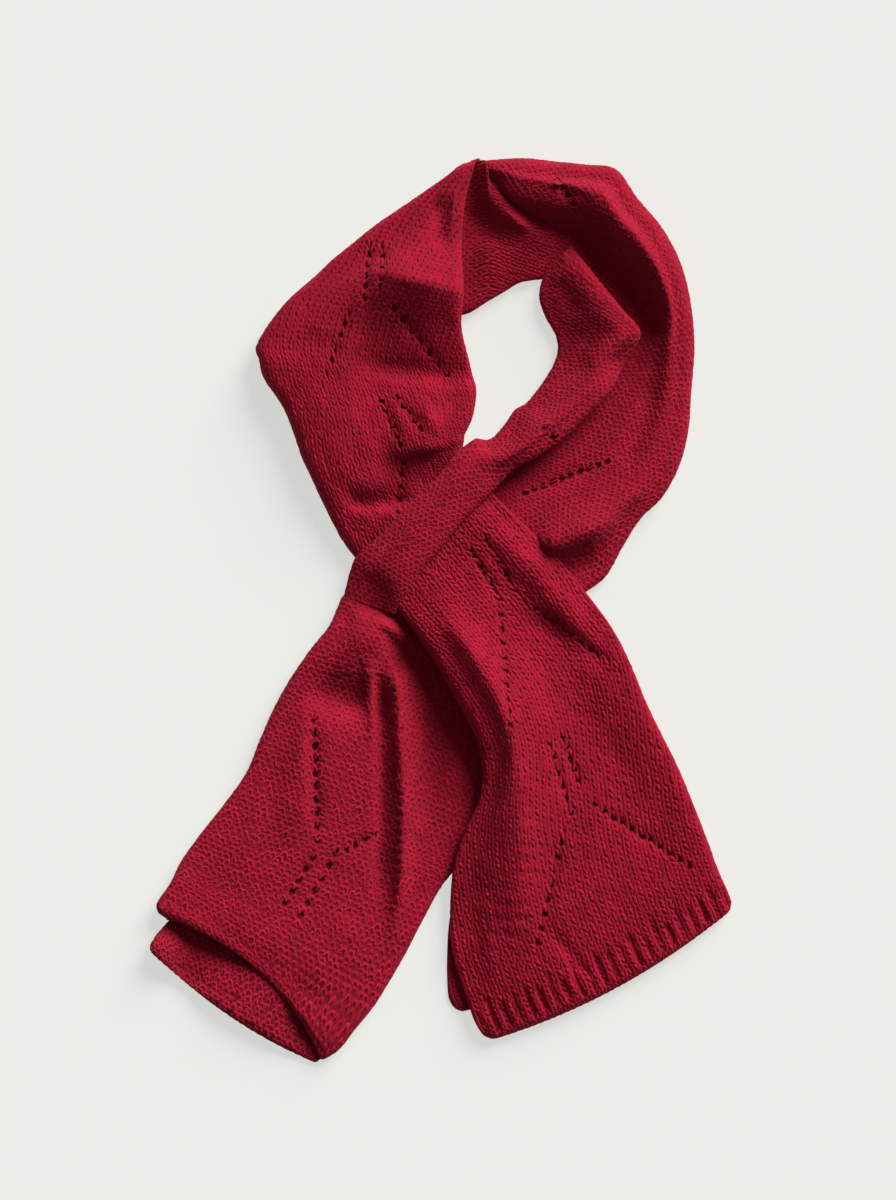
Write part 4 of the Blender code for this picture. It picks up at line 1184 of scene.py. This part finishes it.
@dataclass
class Stretch:
    """One stretch of the knitted strip: its shell of cloth and the stitches on it."""

    name: str
    sections: Sequence[Section]
    gauge: Gauge
    replaces: tuple[str, ...]
    guide: Sequence[float] = (0.5, 0.5)
    folds: Sequence[Fold] = ()
    lace: Lace = Lace()
    hem: Hem | None = None
    grid: float = GRID
    backing: float = BACKING
    shell: float = SHELL
    slot: str = "wool"
    rests_on: tuple[str, ...] = ()
    stitch_pieces: int = 1
    seed: int = 1
    seed_step: int = 7             # from one set of stitches to the next
    surface: Surface = field(init=False)
    cloth: bpy.types.Object = field(init=False)
    stitches: list[bpy.types.Object] = field(init=False, default_factory=list)

    def __post_init__(self) -> None:
        """Loft the surface, with its lace rows in shallow troughs."""
        folds = [*self.folds, *self.lace.troughs()]
        self.surface = Surface(self.sections, folds, self.guide, self.grid)

    def furrows(self, across: np.ndarray, along: np.ndarray) -> np.ndarray:
        """How far the cloth sinks between the ribs of the hem.

        Args:
            across: Lengths run across from the guide.
            along: Lengths run along the guide.

        Returns:
            One depth for each place.
        """
        if not self.hem:
            return np.zeros(np.broadcast(across, along).shape)
        return self.hem.furrows(across, along, self.surface.length)

    def build_shell(self, shop: Workshop) -> None:
        """Make the shell of cloth and punch its lace holes.

        Args:
            shop: The finishes and the frame's shift.
        """
        face = self.surface
        rows, places = face.points.shape[:2]
        runs = np.array([run_lengths(row) for row in face.points]) + face.spans[:, :1]
        along = np.repeat(face.guide_runs[:, None], places, axis=1)
        fade = soft_step((face.normals[..., 2:] + TURN_UNDER) / TURN_UNDER)
        depth = (self.backing + self.furrows(runs, along)[..., None]) * fade
        outer = face.points - face.normals * depth
        inner = outer - face.normals * self.shell
        outer[..., 2] = np.maximum(outer[..., 2], FLOOR_GAP)
        inner[..., 2] = np.maximum(inner[..., 2], 2 * FLOOR_GAP)
        mesh = closed_mesh(self.name, shop.place(outer), shop.place(inner),
                           np.stack([runs, along], axis=-1) * MM)
        self.cloth = link_object(self.name, mesh)
        if self.lace.rows:
            self.punch(outer, shop)
        mesh = self.cloth.data
        mesh.materials.clear()
        # Lower and folded layers get the darker copy of the cloth: painted shade.
        mesh.materials.append(shop.cloth if self.slot == "wool" else shop.folded)
        mesh.shade_smooth()

    def punch(self, outer: np.ndarray, shop: Workshop) -> None:
        """Cut the lace holes through the shell, with a layer of the darker cloth under them: the
        strip's inner layer, darkened as painted shade inside the holes.

        Args:
            outer: The shell's outer face.
            shop: The finishes and the frame's shift.
        """
        lace = self.lace
        plugs = lace.prisms(f"{self.name}_plugs", outer, shop,
                            (1.0, -self.shell - lace.cut, lace.cut))
        cut = self.cloth.modifiers.new("lace_holes", "BOOLEAN")
        cut.operation = "DIFFERENCE"
        cut.solver = "EXACT"
        cut.object = plugs
        apply_modifiers(self.cloth)
        bpy.data.objects.remove(plugs, do_unlink=True)
        # Each hole gets a disc of the darker cloth just under the shell: the inner layer, with
        # painted shade for the dark inside of the hole.
        inner = lace.prisms(f"{self.name}_inner_layer", outer, shop, (
            lace.shade_layer_size, -self.shell - lace.shade_layer_bottom, -self.shell - lace.shade_layer_top))
        inner.data.materials.append(shop.folded)
        self.stitches.append(inner)

    def lattice(self, start: float, end: float, width: float, height: float,
                stagger: bool) -> Cells:
        """Stitches on a regular lattice between two lengths along the guide.

        Args:
            start: Where the lattice starts.
            end: Where it ends.
            width: Width of a stitch.
            height: Height of a course.
            stagger: Whether every other course is set half a stitch aside.

        Returns:
            The stitches that lie inside the cloth's edges and not on its underside.
        """
        face = self.surface
        gauge = self.gauge
        draw = np.random.default_rng(self.seed)
        rise = (end - start) / max(round((end - start) / height), 1)
        courses = np.arange(-1, round((end - start) / rise) + 1)
        half = int(face.reach / width) + 1
        along, across = (grid.ravel().astype(float) for grid in np.meshgrid(
            courses, np.arange(-half, half + 1), indexing="ij"))
        across += 0.5 * (along % 2) * stagger
        across *= width
        along = start + (along + 0.5) * rise
        stray = gauge.stray * gauge.uneven
        along += draw.uniform(-stray, stray, along.shape)
        wander = np.sin(along * gauge.drift_along + across * gauge.drift_across)
        across += draw.uniform(-stray, stray, along.shape) + gauge.drift * wander
        spots, normals, inside = face.at(along, across)
        keep = ((inside > -gauge.overhang * width) & (along > start) & (along < end)
                & (normals[:, 2] > LOWEST_TILT))
        return Cells(across, along, spots, normals).pick(keep)

    def body_cells(self) -> Cells:
        """Stitches of the body of the stretch, drawn aside round the lace holes.

        Returns:
            The stitches.
        """
        end = self.surface.length - (self.hem.edge_run if self.hem else 0.0)
        gauge = self.gauge
        cells = self.lattice(0.0, end, gauge.width, gauge.height, gauge.face is Face.PURL)
        return self.lace.drawn_aside(cells, self.surface) if self.lace.rows else cells

    def edge_cells(self, hem: Hem) -> Cells:
        """Stitches of a hem's cast-on edge: two close courses round its end.

        Args:
            hem: The hem.

        Returns:
            The stitches.
        """
        end = self.surface.length
        return self.lattice(end - hem.edge_run, end - hem.edge_margin, hem.edge_stitch,
                            hem.edge_run / 2, True)

    def knit(self, shop: Workshop, everything: BVHTree) -> None:
        """Set all stitches that can be seen.

        Args:
            shop: The finishes, the stitch trees and the frame's shift.
            everything: Search tree of all shells, in metres.
        """
        gauge, hem = self.gauge, self.hem
        sets = [(gauge.face, self.body_cells(), gauge.width, gauge.height, gauge.yarn)]
        if hem:
            sets.append((Face.PURL, self.edge_cells(hem), hem.edge_stitch, hem.edge_run / 2,
                         hem.edge_yarn))
        turn = math.pi * gauge.turned
        for number, (face, cells, width, height, yarn) in enumerate(sets):
            cells = seen(cells, shop, everything)
            pieces = self.stitch_pieces if number == 0 else 1
            order = np.array_split(np.arange(len(cells.along)), pieces)
            for part, index in enumerate(order):
                if not len(index):
                    continue
                label = f"{self.name}_stitches_{number}{part}"
                piece = point_object(label, cells.pick(index), turn, gauge.tones,
                                     self.seed + number * self.seed_step + part)
                shop.trees[face].grow(piece, {
                    "Stitch Width": width * MM, "Stitch Height": height * MM,
                    "Yarn Thickness": yarn * MM, "Unevenness": gauge.uneven, "Seed": self.seed,
                    "Yarn": shop.yarn})
                self.wrap(piece, shop)
                self.stitches.append(piece)
            log.info("%s: %d %s stitches", self.name, len(cells.along), face.value)

    def wrap(self, piece: bpy.types.Object, shop: Workshop) -> None:
        """Wrap flat knitting round the stretch's surface.

        Args:
            piece: Knitting in metres, with x across the strip, y along it and z up from it.
            shop: The frame's shift.
        """
        vertices = piece.data.vertices
        flat = np.empty(len(vertices) * 3)
        vertices.foreach_get("co", flat)
        flat = flat.reshape(-1, 3) / MM
        points, normals, _ = self.surface.at(flat[:, 1], flat[:, 0])
        lift = flat[:, 2] * self.gauge.relief - self.furrows(flat[:, 0], flat[:, 1])
        places = points + normals * lift[:, None]
        places[:, 2] = np.maximum(places[:, 2], FLOOR_GAP)
        vertices.foreach_set("co", shop.place(places).ravel())
        piece.data.update()

    def declare(self) -> None:
        """Say what the pieces ride on and replace."""
        for piece in [self.cloth, *self.stitches]:
            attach(piece, "root")
        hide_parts(*self.replaces)
        width, length, area = self.surface.flat_size()


def quads(*corners: np.ndarray) -> np.ndarray:
    """Faces from four arrays of corners."""
    return np.stack([corner.ravel() for corner in corners], axis=1)


def closed_mesh(name: str, outer: np.ndarray, inner: np.ndarray,
                chart: np.ndarray) -> bpy.types.Mesh:
    """Closed mesh between an outer and an inner grid of points.

    Args:
        name: The mesh's name.
        outer: Points of the outer face, rows by places, in metres.
        inner: Points of the inner face.
        chart: Lengths across and along the strip for each point, which become the UV map.

    Returns:
        The mesh, with its faces pointing outwards.
    """
    rows, places = outer.shape[:2]
    number = np.arange(rows * places).reshape(rows, places)
    below = number + rows * places
    faces = np.concatenate([
        quads(number[:-1, :-1], number[1:, :-1], number[1:, 1:], number[:-1, 1:]),
        quads(below[:-1, 1:], below[1:, 1:], below[1:, :-1], below[:-1, :-1]),
        quads(number[:-1, 0], below[:-1, 0], below[1:, 0], number[1:, 0]),
        quads(number[1:, -1], below[1:, -1], below[:-1, -1], number[:-1, -1]),
        quads(number[0, 1:], below[0, 1:], below[0, :-1], number[0, :-1]),
        quads(number[-1, :-1], below[-1, :-1], below[-1, 1:], number[-1, 1:])])
    mesh = bpy.data.meshes.new(name)
    points = np.concatenate([outer.reshape(-1, 3), inner.reshape(-1, 3)])
    mesh.from_pydata(points.tolist(), [], faces.tolist())
    layer = mesh.uv_layers.new(name="strip")
    corners = np.tile(chart.reshape(-1, 2), (2, 1))[faces.ravel()]
    layer.data.foreach_set("uv", corners.ravel())
    mesh.update()
    return mesh


def tree_of(grid: np.ndarray) -> BVHTree:
    """Search tree of a grid of points.

    Args:
        grid: The points, rows by places.

    Returns:
        The tree of the faces between them.
    """
    rows, places = grid.shape[:2]
    number = np.arange(rows * places).reshape(rows, places)
    faces = quads(number[:-1, :-1], number[1:, :-1], number[1:, 1:], number[:-1, 1:])
    return BVHTree.FromPolygons(grid.reshape(-1, 3).tolist(), faces.tolist())


def tree_of_all(things: Sequence[bpy.types.Object]) -> BVHTree:
    """Search tree of several objects' meshes.

    Args:
        things: The objects.

    Returns:
        The tree of all their faces.
    """
    points: list[Sequence[float]] = []
    faces: list[list[int]] = []
    for thing in things:
        base = len(points)
        points += [vertex.co[:] for vertex in thing.data.vertices]
        faces += [[base + k for k in polygon.vertices] for polygon in thing.data.polygons]
    return BVHTree.FromPolygons(points, faces)


def seen(cells: Cells, shop: Workshop, everything: BVHTree) -> Cells:
    """The stitches that can be seen.

    Args:
        cells: Stitches that may be hidden.
        shop: The frame's shift.
        everything: Search tree of all shells.

    Returns:
        Those with a free line of sight upwards or to one side.
    """
    starts = shop.place(cells.spots + cells.normals * SIGHT_START)
    ways = [Vector(way) for way in SIGHT_LINES]
    keep = np.array([any(everything.ray_cast(Vector(start), way, SIGHT_REACH)[0] is None
                         for way in ways) for start in starts], dtype=bool)
    return cells.pick(keep)


def point_object(name: str, cells: Cells, turn: float, tones: tuple[float, float],
                 seed: int) -> bpy.types.Object:
    """An object with one vertex for each stitch on the flat strip, its turn and its tone.

    Args:
        name: The object's name.
        cells: The stitches.
        turn: How far all of them are turned on the strip, in radians.
        tones: Their darkest and their lightest tone.
        seed: Seed of the tones.

    Returns:
        The object.
    """
    mesh = bpy.data.meshes.new(name)
    spots = np.stack([cells.across, cells.along, np.zeros(len(cells.along))], axis=1) * MM
    mesh.from_pydata(spots.tolist(), [], [])
    shades = np.random.default_rng(seed).uniform(*tones, len(spots))
    for label, values in (("tone", shades), ("turn", np.full(len(spots), turn))):
        mesh.attributes.new(label, "FLOAT", "POINT").data.foreach_set(
            "value", values.astype(np.float32))
    return link_object(name, mesh)


def slab_sections(table: Sequence[PanelLine], thickness: float) -> list[Section]:
    """Sections of a flat folded layer that lies on the floor.

    Args:
        table: Its lines from edge A to edge B.
        thickness: Its thickness.

    Returns:
        Sections with both edges folded right round.
    """
    return [Section(line.ax, line.ay, line.bx, line.by, (thickness,) * 7, bow=line.bow)
            for line in table]


OUTER_GAUGE = Gauge(4.0, 2.9, Face.PURL, yarn=2.1, uneven=2.2, turned=True)


@dataclass
class NeckLoop:
    """The loop round the neck: its left leg, the back of the neck, and its right leg."""

    left_gauge: Gauge = Gauge(4.6, 3.5, Face.KNIT, yarn=2.6, uneven=1.5)
    back_gauge: Gauge = Gauge(4.9, 3.4, Face.KNIT, yarn=2.5, uneven=1.5)
    right_gauge: Gauge = OUTER_GAUGE

    def stretches(self) -> list[Stretch]:
        """Shape the loop.

        Returns:
            Its three stretches.
        """
        return [
            Stretch("left_leg_cloth", LEFT_LEG, self.left_gauge, ("left_leg_front",),
                    guide=(0.45, 0.5), folds=LEFT_LEG_FOLDS, lace=Lace(LEFT_LEG_EYELETS), seed=11,
                    rests_on=("left_leg_folded", "neck_back_cloth")),
            Stretch("neck_back_cloth", NECK_BACK, self.back_gauge, ("neck_back",),
                    folds=NECK_BACK_FOLDS, seed=12),
            Stretch("right_leg_cloth", RIGHT_LEG, self.right_gauge, ("right_leg_front",),
                    folds=RIGHT_LEG_FOLDS, lace=Lace(RIGHT_LEG_EYELETS), seed=13,
                    rests_on=("right_leg_folded",)),
        ]


@dataclass
class KeyholeBand:
    """The inner band of the right leg, and the strap over the slit that it turns into."""

    gauge: Gauge = OUTER_GAUGE

    def stretches(self) -> list[Stretch]:
        """Shape the band with its strap.

        Returns:
            Both as one stretch.
        """
        return [Stretch("band_and_strap_cloth", BAND_AND_STRAP, self.gauge,
                        ("inner_band", "strap"), folds=BAND_FOLDS, lace=Lace(BAND_EYELETS),
                        seed=21, rests_on=("right_leg_cloth",))]


@dataclass
class Tails:
    """The two tails with their ribbed hems, each with its lower layer."""

    right_gauge: Gauge = Gauge(5.3, 3.8, Face.KNIT, yarn=3.0, uneven=1.5)
    left_gauge: Gauge = Gauge(4.6, 3.3, Face.PURL, yarn=2.5, uneven=2.6, turned=True)
    right_hem: Hem = Hem(36.0, 2.4)
    right_lower_hem: Hem = Hem(36.0)
    left_hem: Hem = Hem(33.0, 0.5)
    left_lower_hem: Hem = Hem(33.0, 0.8)
    layer_backing: float = 0.3
    layer_shell: float = 0.6

    def stretches(self) -> list[Stretch]:
        """Shape both tails.

        Returns:
            Their upper layers, and then their lower ones.
        """
        lower = {"backing": self.layer_backing, "shell": self.layer_shell, "slot": "wool_inside"}
        return [
            Stretch("right_tail_cloth", RIGHT_TAIL, self.right_gauge,
                    ("right_tail_front", "right_tail_hem"), folds=RIGHT_TAIL_FOLDS,
                    lace=Lace(RIGHT_TAIL_EYELETS), hem=self.right_hem,
                    stitch_pieces=2, seed=31, rests_on=("right_tail_lower_cloth",)),
            Stretch("left_tail_cloth", LEFT_TAIL, self.left_gauge,
                    ("left_tail_front", "left_tail_hem"), guide=(0.2, 0.2, 0.28, 0.38, 0.45, 0.45),
                    folds=LEFT_TAIL_FOLDS, lace=Lace(LEFT_TAIL_EYELETS), hem=self.left_hem,
                    seed=32, rests_on=("left_tail_lower_cloth",)),
            Stretch("right_tail_lower_cloth", slab_sections(RIGHT_TAIL_LAYER, LAYER),
                    self.right_gauge, ("right_tail_back",), hem=self.right_lower_hem,
                    grid=3.0, seed=33, **lower),
            Stretch("left_tail_lower_cloth",
                    [*slab_sections(LEFT_TAIL_LAYER, LAYER), *LEFT_TAIL_LAYER_HEM],
                    self.left_gauge, ("left_tail_back",), hem=self.left_lower_hem,
                    seed=34, **lower),
        ]


@dataclass
class FoldedLayers:
    """The layers that lie folded behind the loop's legs and under the crossing."""

    gauge: Gauge = Gauge(5.5, 3.6, Face.PURL, yarn=2.1)
    folded_thickness: float = 6.0
    backing: float = 0.4
    shell: float = 0.6
    grid: float = 4.0

    def stretches(self) -> list[Stretch]:
        """Shape the folded layers.

        Returns:
            The three stretches.
        """
        tables = [("left_leg_folded", "left_leg_layers", LEFT_LEG_LAYERS, self.folded_thickness),
                  ("right_leg_folded", "right_leg_back", RIGHT_LEG_LAYER, LAYER),
                  ("crossing_folded", "crossing_layers", CROSSING_LAYERS, self.folded_thickness)]
        return [Stretch(name, slab_sections(table, thickness), self.gauge, (node,),
                        backing=self.backing, shell=self.shell, grid=self.grid,
                        slot="wool_inside", seed=seed)
                for seed, (name, node, table, thickness) in enumerate(tables, start=41)]


@dataclass
class Studio:
    """A pale floor, soft light from the top and slightly right, and a camera straight above."""

    view_height: float = 4.0        # of the camera, in metres
    frame_height: float = 0.780     # of what it sees, in metres
    middle: tuple[float, float] = (3.9, 5.5)    # of what it sees, in the layout
    light_side: float = 35.0        # degrees from the top of the frame towards its right
    light_height: float = 25.0      # degrees above the floor
    light_spread: float = 34.0
    light_power: float = 6.1
    light_colour: tuple[float, float, float] = (1.0, 0.985, 0.96)
    sky_power: float = 0.15
    sky_colour: str = "#FAFBFF"
    floor_reach: float = 3.0        # in metres

    def floor(self) -> None:
        """Lay the floor."""
        mesh = bpy.data.meshes.new("floor")
        corners = [(x * self.floor_reach, y * self.floor_reach, 0)
                   for x, y in ((-1, -1), (1, -1), (1, 1), (-1, 1))]
        mesh.from_pydata(corners, [], [(0, 1, 2, 3)])
        floor = link_object("floor", mesh)
        mesh.materials.append(LightPanel().material())

    def light(self) -> None:
        """Add the soft key light and the even light of the room."""
        lamp = bpy.data.lights.new("window_light", "SUN")
        lamp.energy = self.light_power
        lamp.angle = math.radians(self.light_spread)
        lamp.color = self.light_colour
        key = bpy.data.objects.new("window_light", lamp)
        side, height = math.radians(self.light_side), math.radians(self.light_height)
        way = Vector((math.sin(side) * math.cos(height), math.cos(side) * math.cos(height),
                      math.sin(height)))
        key.rotation_euler = way.to_track_quat("Z", "Y").to_euler()
        bpy.context.scene.collection.objects.link(key)
        world = bpy.data.worlds.new("room")
        world.use_nodes = True
        room = world.node_tree.nodes["Background"]
        room.inputs["Color"].default_value = to_linear(self.sky_colour)
        room.inputs["Strength"].default_value = self.sky_power
        bpy.context.scene.world = world

    def camera(self, shop: Workshop) -> None:
        """Hang the camera straight above the scarf.

        Args:
            shop: The frame's shift.
        """
        lens = bpy.data.cameras.new("camera")
        lens.sensor_width = 36.0
        lens.lens = lens.sensor_width * self.view_height / self.frame_height
        lens.clip_end = 50.0
        camera = bpy.data.objects.new("camera", lens)
        place = shop.place(np.array([*self.middle, 0.0]))
        camera.location = (place[0], place[1], self.view_height)
        bpy.context.scene.collection.objects.link(camera)
        bpy.context.scene.camera = camera

    def build(self, shop: Workshop) -> None:
        """Set everything up, with plain colour management.

        Args:
            shop: The frame's shift.
        """
        self.floor()
        self.light()
        self.camera(shop)
        bpy.context.scene.view_settings.view_transform = "Standard"


def frame_shift() -> np.ndarray:
    """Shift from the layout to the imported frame, read from one flat solid.

    Returns:
        The shift in millimetres.
    """
    corners = [corner for line in CROSSING_LAYERS
               for corner in ((line.ax, line.ay), (line.bx, line.by))]
    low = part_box("crossing_layers")[0]
    shift = [low[axis] / MM - min(corner[axis] for corner in corners) for axis in (0, 1)]
    return np.array([*shift, 0.0])


def main() -> None:
    """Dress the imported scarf: build every stretch, knit it, and light it."""
    logging.basicConfig(level=logging.INFO, format="%(name)s: %(message)s", force=True)
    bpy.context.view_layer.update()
    log.info("packed model: %d solids", len(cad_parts))
    shop = Workshop(frame_shift(), WoolYarn().material(),
                    WoolCloth("knitted_wool_cloth_ground", "#94112B", "#7E0C21").material(),
                    # A darker copy of the same cloth: painted shade for the lower and hidden layers
                    # and for the insides of the lace holes.
                    WoolCloth("knitted_wool_cloth_folded", "#8A1028", "#4A0612").material(),
                    {face: StitchTree(face) for face in Face})
    parts = [NeckLoop(), KeyholeBand(), Tails(), FoldedLayers()]
    stretches = [stretch for part in parts for stretch in part.stretches()]
    for stretch in stretches:
        stretch.build_shell(shop)
        log.info("%s: cloth %.0f by %.0f mm", stretch.name,
                 *(value / MM for value in stretch.surface.flat_size()[:2]))
    everything = tree_of_all([stretch.cloth for stretch in stretches])
    for stretch in stretches:
        stretch.knit(shop, everything)
    for stretch in stretches:
        stretch.declare()
    Studio().build(shop)


if __name__ == "__main__":
    main()
